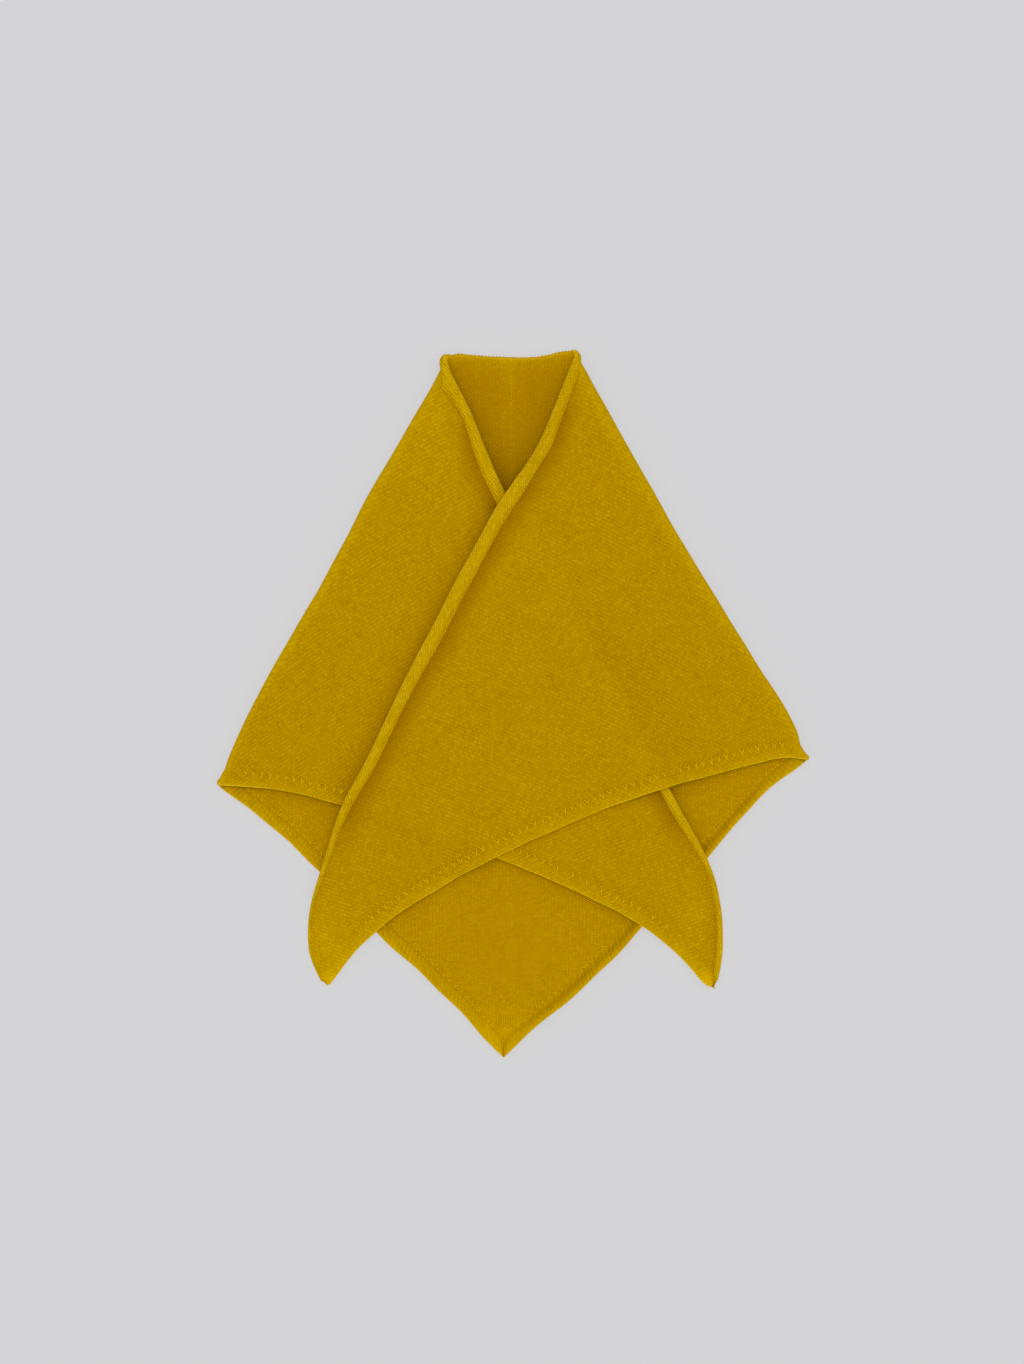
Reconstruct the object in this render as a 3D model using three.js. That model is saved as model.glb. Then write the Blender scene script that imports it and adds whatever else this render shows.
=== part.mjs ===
// A knitted triangular neckerchief, folded flat with its two wings crossed over the back panel.
// Units are mm. +Z is up, the floor is at z = 0, and the neck opening points to +Y.
import * as THREE from "three";

// Laid size and cloth.
const laidWidth = 346;
const laidLength = 415;
const clothWall = 1.4;
const seamGap = 0.38;

// The neck edge rolls over onto the outer face.
const rollWidth = 7.2;
const rollHeight = 3.5;
const rollLip = 1.6;

// The two short edges carry a turned hem on the inner face.
const hemDepth = 9;
const hemWall = 1.2;
const hemSetback = 1;
const hemGap = 0.45;

// Heights of the middle of the cloth, above the floor.
const halfWall = clothWall / 2;
const neckRaise = rollHeight + seamGap;
const raiseReach = 34;
const wingHeightTop = 9.9;
const wingHeightHollow = 9.3;
const wingHeightHem = 6.6;
const lapLift = 3.5;
const rollRidge = 3.7;
const ridgeReach = 26;
const tipReach = 24;

// Share of the laid length where the wings come down from the hollow to the hems.
const hollowLow = -0.09;
const hollowHigh = 0.22;

// Colours.
const knitColour = 0xb28a05;
const rollColour = 0xbe9608;
const hemColour = 0xb68c04;

// Each row is one rib of the cloth, from the neck edge to the hem, as shares of the laid size.
// "along" runs over the region, "roll" is a share of the roll's width and height.
const leftWing = [
  { along: 0.0, neckX: 0.345, neckY: -0.3909, hemX: 0.3272, hemY: -0.398, roll: 0.45 },
  { along: 0.05, neckX: 0.3548, neckY: -0.3437, hemX: 0.2989, hemY: -0.3681, roll: 0.5 },
  { along: 0.11, neckX: 0.3522, neckY: -0.2856, hemX: 0.2589, hemY: -0.337, roll: 0.5 },
  { along: 0.18, neckX: 0.3288, neckY: -0.2211, hemX: 0.2055, hemY: -0.3081, roll: 0.42 },
  { along: 0.26, neckX: 0.2852, neckY: -0.1527, hemX: 0.14, hemY: -0.2811, roll: 0.68 },
  { along: 0.36, neckX: 0.2317, neckY: -0.0666, hemX: 0.0589, hemY: -0.2461, roll: 0.8 },
  { along: 0.48, neckX: 0.1631, neckY: 0.0348, hemX: -0.0428, hemY: -0.2126, roll: 0.85 },
  { along: 0.64, neckX: 0.0703, neckY: 0.1695, hemX: -0.1799, hemY: -0.1706, roll: 0.85 },
  { along: 0.82, neckX: -0.0273, neckY: 0.3238, hemX: -0.3378, hemY: -0.1338, roll: 0.9 },
  { along: 0.93, neckX: -0.0779, neckY: 0.4218, hemX: -0.4363, hemY: -0.1176, roll: 1.0 },
  { along: 1.0, neckX: -0.1123, neckY: 0.4832, hemX: -0.498, hemY: -0.1137, roll: 1.0 },
];
const backLeft = [
  { along: 0.0, neckX: -0.1123, neckY: 0.4938, hemX: -0.498, hemY: -0.1137, roll: 1.0 },
  { along: 0.25, neckX: -0.0852, neckY: 0.4944, hemX: -0.3694, hemY: -0.2015, roll: 1.0 },
  { along: 0.5, neckX: -0.0581, neckY: 0.4933, hemX: -0.2521, hemY: -0.3017, roll: 1.0 },
  { along: 0.75, neckX: -0.0311, neckY: 0.4914, hemX: -0.1324, hemY: -0.3998, roll: 1.0 },
  { along: 1.0, neckX: -0.0041, neckY: 0.4901, hemX: -0.0158, hemY: -0.4995, roll: 1.0 },
];
const backRight = [
  { along: 0.0, neckX: -0.0041, neckY: 0.4901, hemX: -0.0158, hemY: -0.4995, roll: 1.0 },
  { along: 0.25, neckX: 0.023, neckY: 0.4903, hemX: 0.1203, hemY: -0.4005, roll: 1.0 },
  { along: 0.5, neckX: 0.05, neckY: 0.4926, hemX: 0.2471, hemY: -0.2927, roll: 1.0 },
  { along: 0.75, neckX: 0.0767, neckY: 0.4965, hemX: 0.3688, hemY: -0.1807, roll: 1.0 },
  { along: 1.0, neckX: 0.1037, neckY: 0.4987, hemX: 0.498, hemY: -0.0784, roll: 1.0 },
];
const rightWing = [
  { along: 0.0, neckX: 0.1037, neckY: 0.4874, hemX: 0.498, hemY: -0.0784, roll: 1.0 },
  { along: 0.07, neckX: 0.0697, neckY: 0.4255, hemX: 0.4362, hemY: -0.0789, roll: 1.0 },
  { along: 0.18, neckX: 0.0144, neckY: 0.3296, hemX: 0.3386, hemY: -0.1002, roll: 1.0 },
  { along: 0.36, neckX: -0.093, neckY: 0.1795, hemX: 0.1811, hemY: -0.1412, roll: 1.0 },
  { along: 0.52, neckX: -0.1826, neckY: 0.0427, hemX: 0.0448, hemY: -0.1868, roll: 1.0 },
  { along: 0.64, neckX: -0.2433, neckY: -0.0619, hemX: -0.0538, hemY: -0.2278, roll: 0.9 },
  { along: 0.74, neckX: -0.2931, neckY: -0.15, hemX: -0.1335, hemY: -0.2656, roll: 0.6 },
  { along: 0.82, neckX: -0.3225, neckY: -0.2239, hemX: -0.1963, hemY: -0.2975, roll: 0.42 },
  { along: 0.89, neckX: -0.3435, neckY: -0.2896, hemX: -0.2468, hemY: -0.3306, roll: 0.44 },
  { along: 0.95, neckX: -0.3437, neckY: -0.3477, hemX: -0.2839, hemY: -0.3641, roll: 0.45 },
  { along: 1.0, neckX: -0.3215, neckY: -0.3924, hemX: -0.3079, hemY: -0.3966, roll: 0.45 },
];

// Each side fold bows outward, most at "at" of its length.
const foldBows = {
  left: { depth: 3.8, at: 0.78 },
  right: { depth: 3.0, at: 0.87 },
};

// Mesh density.
const wingSteps = 26;
const foldSteps = 8;
const backSteps = 12;
const ribShares = [0, 0.02, 0.05, 0.09, 0.15, 0.23, 0.32, 0.42, 0.52, 0.62, 0.72, 0.81, 0.89, 0.95, 1];

// Cross-section of the roll. "inward" is a share of its width past the lip, "up" of its height.
const rollOuter = [
  { inward: 0, up: 0, lipIn: 0.75, drop: 1 },
  { inward: 0, up: 0, lipIn: 0.2, drop: 0.5 },
  { inward: 0, up: 0.1, lipIn: 0, drop: 0 },
  { inward: 0, up: 0.5, lipIn: 0.1, drop: 0 },
  { inward: 0.02, up: 0.82, lipIn: 0.6, drop: 0 },
  { inward: 0.28, up: 1, lipIn: 1, drop: 0 },
  { inward: 0.62, up: 0.94, lipIn: 1, drop: 0 },
  { inward: 0.9, up: 0.62, lipIn: 1, drop: 0 },
  { inward: 1, up: 0.25, lipIn: 1, drop: 0 },
];

// The same section's inner side, against the panel's edge and outer face.
const rollUnder = [
  { inward: 0, up: 0, drop: 0.8 },
  { inward: 0, up: 0, drop: 0.2 },
  { inward: 0, up: 0.4, drop: 0 },
  { inward: 0, up: 0.8, drop: 0 },
  { inward: 0, up: 1, drop: 0 },
  { inward: 0.28, up: 1, drop: 0 },
  { inward: 0.55, up: 1, drop: 0 },
  { inward: 0.75, up: 1, drop: 0 },
  { inward: 0.9, up: 1, drop: 0 },
];

const clamp = (x) => Math.min(1, Math.max(0, x));
const smooth = (x) => clamp(x) * clamp(x) * (3 - 2 * clamp(x));
const mix = (a, b, t) => a + (b - a) * t;

// Reads a table at any share along it, with a smooth curve through the rows.
function readRow(table, share) {
  let k = 0;
  while (k < table.length - 2 && share > table[k + 1].along) {
    k += 1;
  }
  const left = table[k];
  const right = table[k + 1];
  const span = right.along - left.along;
  const t = clamp((share - left.along) / span);
  const slope = (i, name) => {
    const a = table[Math.max(0, i - 1)];
    const b = table[Math.min(table.length - 1, i + 1)];
    return (b[name] - a[name]) / (b.along - a.along);
  };
  const row = {};
  for (const name of ["neckX", "neckY", "hemX", "hemY", "roll"]) {
    const h00 = 2 * t ** 3 - 3 * t ** 2 + 1;
    const h10 = t ** 3 - 2 * t ** 2 + t;
    const h01 = 3 * t ** 2 - 2 * t ** 3;
    const h11 = t ** 3 - t ** 2;
    row[name] = h00 * left[name] + h10 * span * slope(k, name)
      + h01 * right[name] + h11 * span * slope(k + 1, name);
  }
  return row;
}

// Outward direction of a side fold, square to it in plan.
function foldOut(table, share, side) {
  const row = readRow(table, share);
  const along = new THREE.Vector2((row.hemX - row.neckX) * laidWidth, (row.hemY - row.neckY) * laidLength);
  along.normalize();
  return side === "left" ? new THREE.Vector2(along.y, -along.x) : new THREE.Vector2(-along.y, along.x);
}
const outLeft = foldOut(leftWing, 1, "left");
const outRight = foldOut(rightWing, 0, "right");

function bowAt(bow, v) {
  const power = bow.at / (1 - bow.at);
  const peak = bow.at ** power * (1 - bow.at);
  return (bow.depth * v ** power * (1 - v)) / peak;
}

// Signed distance from a line in plan, positive on its left side.
function sideOf(x, y, from, to) {
  const dx = to.x - from.x;
  const dy = to.y - from.y;
  return (dx * (y - from.y) - dy * (x - from.x)) / Math.hypot(dx, dy);
}
const hemPoint = (row) => ({ x: row.hemX * laidWidth, y: row.hemY * laidLength });
const neckPoint = (row) => ({ x: row.neckX * laidWidth, y: row.neckY * laidLength });
const cornerLeft = hemPoint(leftWing[leftWing.length - 1]);
const cornerRight = hemPoint(rightWing[0]);
const apex = hemPoint(backRight[0]);

// Heights of the middle of the cloth at a point in plan.
function backHeight(x, y) {
  const fromTop = laidLength * 0.495 - y;
  return halfWall + neckRaise * (1 - smooth((fromTop - rollWidth) / raiseReach));
}
function wingHeight(y) {
  const share = y / laidLength;
  const low = mix(wingHeightHem, wingHeightHollow, smooth((share - hollowLow) / (hollowHigh - hollowLow)));
  return mix(low, wingHeightTop, smooth((share - 0.36) / 0.13));
}
function leftTipFall(x, y) {
  return smooth(1 + sideOf(x, y, apex, cornerRight) / tipReach);
}
function rightTipFall(x, y) {
  return smooth(1 - sideOf(x, y, apex, cornerLeft) / tipReach);
}
function tipHeight(v) {
  return halfWall + (hemWall + hemGap + 0.1) * smooth((v - 0.1) / 0.5);
}
function leftHeight(x, y, v) {
  return mix(tipHeight(v), wingHeight(y), leftTipFall(x, y));
}

// The right wing climbs over the left wing, and once more over the left wing's rolled edge.
const crossing = neckPoint(readRow(leftWing, 0.8));
const reappears = neckPoint(readRow(leftWing, 0.3));
const leftHemOut = hemPoint(readRow(leftWing, 0.36));
const leftHemIn = hemPoint(readRow(leftWing, 0.62));
function lapOver(x, y) {
  const fromNeck = -sideOf(x, y, crossing, reappears);
  const fromHem = sideOf(x, y, leftHemIn, leftHemOut);
  const aboveHem = smooth(1 + (fromHem + 2) / 22);
  const overWing = smooth(1 + fromNeck / ridgeReach);
  const ridge = Math.exp(-(((fromNeck - rollWidth / 2) / ridgeReach) ** 2));
  return (lapLift * overWing + rollRidge * ridge) * aboveHem;
}
function rightHeight(x, y, v) {
  const over = wingHeight(y) + lapOver(x, y);
  return mix(tipHeight(v), over, rightTipFall(x, y));
}

// A point of a rib in plan, before the cloth's bends at the side folds.
function planPoint(table, share, v, bowLeft, bowRight) {
  const row = readRow(table, share);
  const plan = new THREE.Vector2(
    mix(row.neckX, row.hemX, v) * laidWidth,
    mix(row.neckY, row.hemY, v) * laidLength,
  );
  plan.addScaledVector(outLeft, bowLeft * bowAt(foldBows.left, v));
  plan.addScaledVector(outRight, bowRight * bowAt(foldBows.right, v));
  return plan;
}

// Half the height of a side fold, which sets how round its bend is.
function foldRadius(plan) {
  return (wingHeight(plan.y) - backHeight(plan.x, plan.y)) / 2;
}

function wingPoint(side, share, v) {
  const isLeft = side === "left";
  const table = isLeft ? leftWing : rightWing;
  const near = (isLeft ? share : 1 - share) ** 6;
  const plan = planPoint(table, share, v, isLeft ? near : 0, isLeft ? 0 : near);
  const out = isLeft ? outLeft : outRight;
  plan.addScaledVector(out, -near * foldRadius(plan));
  const z = isLeft ? leftHeight(plan.x, plan.y, v) : rightHeight(plan.x, plan.y, v);
  return new THREE.Vector3(plan.x, plan.y, z);
}

function backPoint(share, v) {
  const nearLeft = (1 - share) ** 8;
  const nearRight = share ** 8;
  const table = share < 0.5 ? backLeft : backRight;
  const local = share < 0.5 ? share * 2 : share * 2 - 1;
  const plan = planPoint(table, local, v, nearLeft, nearRight);
  const radius = foldRadius(plan);
  plan.addScaledVector(outLeft, -nearLeft * radius);
  plan.addScaledVector(outRight, -nearRight * radius);
  return new THREE.Vector3(plan.x, plan.y, backHeight(plan.x, plan.y));
}

// The bend from one layer to the other, as a half turn round the side fold.
function foldPoint(side, turn, v) {
  const wing = side === "left" ? wingPoint("left", 1, v) : wingPoint("right", 0, v);
  const back = backPoint(side === "left" ? 0 : 1, v);
  const out = side === "left" ? outLeft : outRight;
  const angle = turn * Math.PI;
  const toBack = (1 - Math.cos(angle)) / 2;
  const point = wing.clone().lerp(back, toBack);
  const radius = (wing.z - back.z) / 2;
  point.x += out.x * radius * Math.sin(angle);
  point.y += out.y * radius * Math.sin(angle);
  return point;
}

// The middle of the whole cloth. u is 0 to 5: left wing, left fold, back, right fold, right wing.
function clothPoint(u, v) {
  if (u <= 1) {
    return wingPoint("left", Math.max(0, u), v);
  }
  if (u <= 2) {
    return foldPoint("left", u - 1, v);
  }
  if (u <= 3) {
    return backPoint(u - 2, v);
  }
  if (u <= 4) {
    return foldPoint("right", 4 - u, v);
  }
  return wingPoint("right", Math.min(1, u - 4), v);
}

function rollShare(u) {
  if (u <= 1) {
    return readRow(leftWing, u).roll;
  }
  return u >= 4 ? readRow(rightWing, u - 4).roll : 1;
}

// Position, outer normal and inward direction of the cloth.
function clothFrame(u, v) {
  const du = 0.002;
  const dv = 0.004;
  const alongEdge = clothPoint(Math.min(5, u + du), v).sub(clothPoint(Math.max(0, u - du), v));
  const alongRib = clothPoint(u, Math.min(1, v + dv)).sub(clothPoint(u, Math.max(0, v - dv)));
  const normal = alongEdge.clone().cross(alongRib).normalize();
  const inward = normal.clone().cross(alongEdge).normalize();
  return { at: clothPoint(u, v), normal, inward };
}
function offset(frame, inward, up) {
  return frame.at.clone().addScaledVector(frame.inward, inward).addScaledVector(frame.normal, up);
}

// Share of a rib that covers a given width, measured square to the neck edge or to the hem.
function ribShare(u, v, width) {
  const du = 0.004;
  const edge = clothPoint(Math.min(5, u + du), v).sub(clothPoint(Math.max(0, u - du), v)).normalize();
  const rib = clothPoint(u, 1).sub(clothPoint(u, 0));
  const across = rib.clone().addScaledVector(edge, -rib.dot(edge)).length();
  return width / across;
}

// Stations along the cloth, from the left tip to the right tip.
function stations() {
  const list = [];
  for (let i = 0; i < wingSteps; i += 1) {
    list.push((i / wingSteps) ** 1.25);
  }
  for (let i = 0; i < foldSteps; i += 1) {
    list.push(1 + i / foldSteps);
  }
  for (let i = 0; i < backSteps * 2; i += 1) {
    list.push(2 + i / (backSteps * 2));
  }
  for (let i = 0; i < foldSteps; i += 1) {
    list.push(3 + i / foldSteps);
  }
  for (let i = 0; i <= wingSteps; i += 1) {
    list.push(5 - (1 - i / wingSteps) ** 1.25);
  }
  return list;
}

// Joins rings of equal length into one closed body with flat ends.
function sweep(name, rings, colour) {
  const count = rings[0].length;
  const points = rings.flat();
  const faces = [];
  for (let i = 0; i < rings.length - 1; i += 1) {
    for (let k = 0; k < count; k += 1) {
      const a = i * count + k;
      const b = i * count + ((k + 1) % count);
      faces.push([a, b, b + count], [a, b + count, a + count]);
    }
  }
  const last = (rings.length - 1) * count;
  for (let k = 0; k < count / 2 - 1; k += 1) {
    const across = count - 1 - k;
    faces.push([k + 1, k, across], [k + 1, across, across - 1]);
    faces.push([last + k, last + k + 1, last + across], [last + k + 1, last + across - 1, last + across]);
  }
  const positions = [];
  let volume = 0;
  for (const [a, b, c] of faces) {
    volume += points[a].dot(points[b].clone().cross(points[c]));
  }
  for (const [a, b, c] of faces) {
    for (const index of volume > 0 ? [a, b, c] : [a, c, b]) {
      positions.push(points[index].x, points[index].y, points[index].z);
    }
  }
  const geometry = new THREE.BufferGeometry();
  geometry.setAttribute("position", new THREE.Float32BufferAttribute(positions, 3));
  geometry.computeVertexNormals();
  const material = new THREE.MeshStandardMaterial({ color: colour, roughness: 0.95, metalness: 0 });
  const mesh = new THREE.Mesh(geometry, material);
  mesh.name = name;
  return mesh;
}

// The folded knit itself, with its edges rounded off.
function panelRing(u) {
  const lip = ribShare(u, 0, rollLip);
  const round = ribShare(u, 1, halfWall * 0.6);
  const outer = [];
  const inner = [];
  for (const share of ribShares) {
    const v = mix(lip, 1 - round, share);
    const frame = clothFrame(u, v);
    outer.push(offset(frame, 0, halfWall));
    inner.push(offset(frame, 0, -halfWall));
  }
  const edge = clothFrame(u, 1);
  outer.push(offset(edge, 0, halfWall * 0.45));
  inner.push(offset(edge, 0, -halfWall * 0.45));
  return outer.concat(inner.reverse());
}

// The rolled neck edge, hooked over the panel's edge and lying on its outer face.
function rollRing(u) {
  const size = rollShare(u);
  const perWidth = ribShare(u, 0, 1);
  const reach = Math.min(rollWidth * size - rollLip, 0.4 / perWidth);
  const height = rollHeight * (0.35 + 0.65 * size);
  const base = halfWall + seamGap;
  const wall = rollLip - seamGap;
  const onCloth = (inward, up) => offset(clothFrame(u, inward * perWidth), 0, up);
  const outer = rollOuter.map((p) => onCloth(
    p.lipIn * wall + p.inward * reach,
    base + p.up * height - p.drop * (base + halfWall),
  ));
  const under = rollUnder.map((p) => onCloth(
    wall + p.inward * reach,
    p.up * base - p.drop * halfWall,
  ));
  return outer.concat(under.reverse());
}

// The turned hem, flat on the inner face.
function hemRing(u) {
  const near = Math.min(0.5, ribShare(u, 1, hemDepth));
  const edge = ribShare(u, 1, hemSetback);
  const shares = [0, 0.06, 0.36, 0.68, 0.95, 1];
  const top = [];
  const under = [];
  shares.forEach((share, k) => {
    const v = mix(1 - near, 1 - edge, share);
    const frame = clothFrame(u, v);
    const thin = k === 0 || k === shares.length - 1 ? 0.25 : 0;
    top.push(offset(frame, 0, -(halfWall + hemGap + hemWall * thin)));
    under.push(offset(frame, 0, -(halfWall + hemGap + hemWall * (1 - thin))));
  });
  return top.concat(under.reverse());
}

const all = stations();
const between = (from, to) => [from, ...all.filter((u) => u > from + 0.004 && u < to - 0.004), to];

const neckerchief = new THREE.Group();
neckerchief.name = "neckerchief";
neckerchief.add(sweep("knitted_panel", all.map(panelRing), knitColour));
neckerchief.add(sweep("neck_roll", all.map(rollRing), rollColour));
neckerchief.add(sweep("left_hem", between(0.06, 2.49).map(hemRing), hemColour));
neckerchief.add(sweep("right_hem", between(2.51, 4.94).map(hemRing), hemColour));

export default neckerchief;
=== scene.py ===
"""A mustard knitted neckerchief, folded flat with both wings crossed over the back panel.

The cloth, its rolled neck edge and its turned hems follow one surface, so every layer keeps its place.
Lengths are in mm until a mesh is made. +Z is up and the neck opening points to +Y.
"""

import math

import bpy
import numpy as np
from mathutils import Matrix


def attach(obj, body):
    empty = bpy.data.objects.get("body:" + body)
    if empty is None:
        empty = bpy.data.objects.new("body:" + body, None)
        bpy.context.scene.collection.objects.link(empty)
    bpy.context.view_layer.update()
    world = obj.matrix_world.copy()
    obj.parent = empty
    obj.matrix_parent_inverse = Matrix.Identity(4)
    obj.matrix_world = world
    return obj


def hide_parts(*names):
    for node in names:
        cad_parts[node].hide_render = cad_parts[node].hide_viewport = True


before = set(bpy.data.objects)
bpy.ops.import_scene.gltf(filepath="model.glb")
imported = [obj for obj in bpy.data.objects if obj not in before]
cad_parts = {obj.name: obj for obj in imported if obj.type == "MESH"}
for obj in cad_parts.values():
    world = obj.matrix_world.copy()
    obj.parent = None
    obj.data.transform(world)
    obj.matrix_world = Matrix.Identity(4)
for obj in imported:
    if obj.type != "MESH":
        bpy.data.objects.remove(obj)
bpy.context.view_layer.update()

MM = 0.001

# Laid size and cloth.
laid_width = 346.0
laid_length = 415.0
cloth_wall = 1.4
half_wall = cloth_wall / 2

# The rolled neck edge.
roll_width = 7.2
roll_height = 3.5
roll_gap = 0.06
cloth_start = 0.3

# The turned hems.
hem_depth = 7.4
hem_wall = 1.2
hem_gap = 0.04
hem_row = 7.6

# Heights of the middle of the cloth, and the lowest that any cloth lies.
lowest = 0.05
neck_raise = roll_height + 0.38
raise_reach = 34.0
wing_height_top = 9.9
wing_height_hollow = 9.3
wing_height_hem = 6.6
lap_lift = 3.5
roll_ridge = 3.7
ridge_reach = 26.0
tip_reach = 24.0
tip_slack = 0.55
# Shares of the laid length over which the wings rise over the hollow, and again to the neck.
hollow_low = -0.09
hollow_high = 0.22
neck_low = 0.36
neck_high = 0.49
# Share of the laid length from its middle to the back panel's top edge.
back_top = 0.495
# The right wing keeps its climb to a little past the left wing's hem, then comes down, in mm.
lap_past_hem = 2.0
lap_fall = 22.0

# The knit: width of one wale and height of one course.
wale = 2.06
course = 1.34

# Each row is one rib of the cloth from the neck edge to the hem, as shares of the laid size.
# Columns: along, neck x, neck y, hem x, hem y, share of the roll's size.
left_wing_rows = [
    (0.0, 0.3379, -0.4012, 0.3347, -0.4012, 0.4),
    (0.004, 0.3419, -0.3976, 0.3312, -0.3995, 0.42),
    (0.012, 0.3457, -0.3908, 0.3272, -0.3969, 0.45),
    (0.05, 0.3548, -0.3437, 0.2989, -0.3681, 0.5),
    (0.11, 0.3522, -0.2856, 0.2589, -0.337, 0.5),
    (0.18, 0.3288, -0.2211, 0.2055, -0.3081, 0.42),
    (0.26, 0.2852, -0.1527, 0.14, -0.2811, 0.68),
    (0.36, 0.2317, -0.0666, 0.0589, -0.2461, 0.8),
    (0.48, 0.1631, 0.0348, -0.0428, -0.2126, 0.85),
    (0.64, 0.0703, 0.1695, -0.1799, -0.1706, 0.85),
    (0.82, -0.0273, 0.3238, -0.3378, -0.1338, 0.9),
    (0.93, -0.0779, 0.4218, -0.4363, -0.1176, 1.0),
    (1.0, -0.1123, 0.4832, -0.498, -0.1137, 1.0),
]
back_left_rows = [
    (0.0, -0.1123, 0.4938, -0.498, -0.1137, 1.0),
    (0.25, -0.0852, 0.4944, -0.3694, -0.2015, 1.0),
    (0.5, -0.0581, 0.4933, -0.2521, -0.3017, 1.0),
    (0.75, -0.0311, 0.4914, -0.1324, -0.3998, 1.0),
    (1.0, -0.0041, 0.4901, -0.0158, -0.4995, 1.0),
]
back_right_rows = [
    (0.0, -0.0041, 0.4901, -0.0158, -0.4995, 1.0),
    (0.25, 0.023, 0.4903, 0.1203, -0.4005, 1.0),
    (0.5, 0.05, 0.4926, 0.2471, -0.2927, 1.0),
    (0.75, 0.0767, 0.4965, 0.3688, -0.1807, 1.0),
    (1.0, 0.1037, 0.4987, 0.498, -0.0784, 1.0),
]
right_wing_rows = [
    (0.0, 0.1037, 0.4874, 0.498, -0.0784, 1.0),
    (0.07, 0.0697, 0.4255, 0.4362, -0.0789, 1.0),
    (0.18, 0.0144, 0.3296, 0.3386, -0.1002, 1.0),
    (0.36, -0.093, 0.1795, 0.1811, -0.1412, 1.0),
    (0.52, -0.1826, 0.0427, 0.0448, -0.1868, 1.0),
    (0.64, -0.2433, -0.0619, -0.0538, -0.2278, 0.9),
    (0.74, -0.2931, -0.15, -0.1335, -0.2656, 0.6),
    (0.82, -0.3225, -0.2239, -0.1963, -0.2975, 0.42),
    (0.89, -0.3435, -0.2896, -0.2468, -0.3306, 0.28),
    (0.95, -0.3437, -0.3477, -0.2839, -0.3641, 0.14),
    (0.988, -0.3254, -0.3904, -0.3069, -0.3918, 0.1),
    (0.996, -0.3205, -0.3945, -0.3084, -0.3949, 0.1),
    (1.0, -0.3145, -0.3976, -0.311, -0.3977, 0.1),
]

# Each side fold bows outward by a depth, most at a share of its length, a little more at another,
# and by a small amount at the roll.
left_bow = (4.1, 0.8, 1.6, 0.31, -0.8)
right_bow = (3.0, 0.89, 1.0, 0.76, 0.8)
second_bow_width = 0.15
roll_bow_at = 0.05
roll_bow_width = 0.07

# How the roll runs along the cloth: mm that it lies inward of the ribs' edge, and mm wider than its
# share. Along the cloth, 0 to 1 is the left wing, 1 to 2 its fold, 2 to 3 the back, 3 to 4 the right
# fold and 4 to 5 the right wing.
roll_run = [
    (0.0, -0.3, 0.4),
    (0.015, -1.1, 0.7),
    (0.05, -0.6, 0.5),
    (0.09, -0.2, 0.0),
    (0.16, -0.5, 0.4),
    (0.24, -0.4, 0.9),
    (0.4, 0.0, 0.0),
    (0.8, 1.1, 1.3),
    (0.88, 1.3, 0.5),
    (0.93, 1.6, -0.9),
    (0.97, 2.2, 0.0),
    (1.0, 2.4, 1.6),
    (1.5, 0.0, 0.0),
    (1.8, -0.9, 0.0),
    (2.06, -1.1, 0.0),
    (2.15, -0.2, 0.0),
    (2.3, 0.35, 0.0),
    (2.45, 0.05, 0.0),
    (2.6, 0.15, 0.0),
    (2.75, 0.3, 0.0),
    (2.85, -0.2, 0.0),
    (2.95, -1.0, 0.0),
    (3.2, -1.2, 0.0),
    (3.6, 0.0, -0.5),
    (4.0, 1.3, -0.8),
    (4.04, 2.0, 0.0),
    (4.075, 2.9, 0.2),
    (4.11, 3.2, 0.2),
    (4.15, 2.2, -0.6),
    (4.2, -0.1, 0.8),
    (4.25, -1.3, 1.7),
    (4.31, -0.1, 1.4),
    (4.37, 0.4, 1.8),
    (4.43, 1.4, 1.6),
    (4.5, 1.4, 0.4),
    (4.6, 1.7, 0.0),
    (4.67, 1.5, 0.4),
    (4.73, 0.3, 1.0),
    (4.79, 0.3, 0.5),
    (4.87, 0.1, 0.0),
    (4.93, -0.9, 0.6),
    (4.975, -1.2, 0.9),
    (5.0, -0.3, 0.6),
]

# How far the hem's edge stands out from the ribs' edge, in mm along the cloth.
hem_run = [
    (0.0, 0.2),
    (0.02, 1.0),
    (0.11, 0.9),
    (0.2, -0.4),
    (0.24, -1.0),
    (0.37, 0.6),
    (0.6, 0.0),
    (0.8, -0.4),
    (0.88, -0.8),
    (0.96, 0.0),
    (1.0, 0.4),
    (2.0, 1.4),
    (2.06, 1.3),
    (2.16, 1.15),
    (2.3, 1.6),
    (2.38, 0.4),
    (2.43, -0.1),
    (2.47, 1.3),
    (2.5, 1.3),
    (2.54, -0.5),
    (2.6, 1.2),
    (2.7, 1.3),
    (2.86, 2.8),
    (2.89, 1.9),
    (2.91, 0.8),
    (2.94, -0.6),
    (2.965, -0.6),
    (3.0, 1.1),
    (4.0, -0.1),
    (4.03, -1.5),
    (4.05, -1.2),
    (4.08, 0.3),
    (4.14, 0.4),
    (4.24, -0.4),
    (4.4, 0.0),
    (4.52, 0.7),
    (4.68, -0.1),
    (4.8, 0.3),
    (4.9, 1.0),
    (4.975, 0.9),
    (5.0, 0.1),
]

# Each lower corner is drawn out to a small point: mm at the point, and mm drawn in just above it.
left_point = (1.5, 0.2)
right_point = (2.0, 0.9)
point_reach = 3.2
waist_from_edge = 9.0
waist_reach = 5.0


def smooth(x):
    x = np.clip(x, 0.0, 1.0)
    return x * x * (3 - 2 * x)


def mix(a, b, t):
    return a + (b - a) * t


def hump(away, reach):
    """1 at a place, and close to 0 from two reaches away."""
    return np.exp(-((away / reach) ** 2))


def between(u, start, end, soft):
    """1 inside a stretch and 0 past its ends, with a soft run just inside each end."""
    return smooth((u - start) / soft) * smooth((end - u) / soft)


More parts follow.
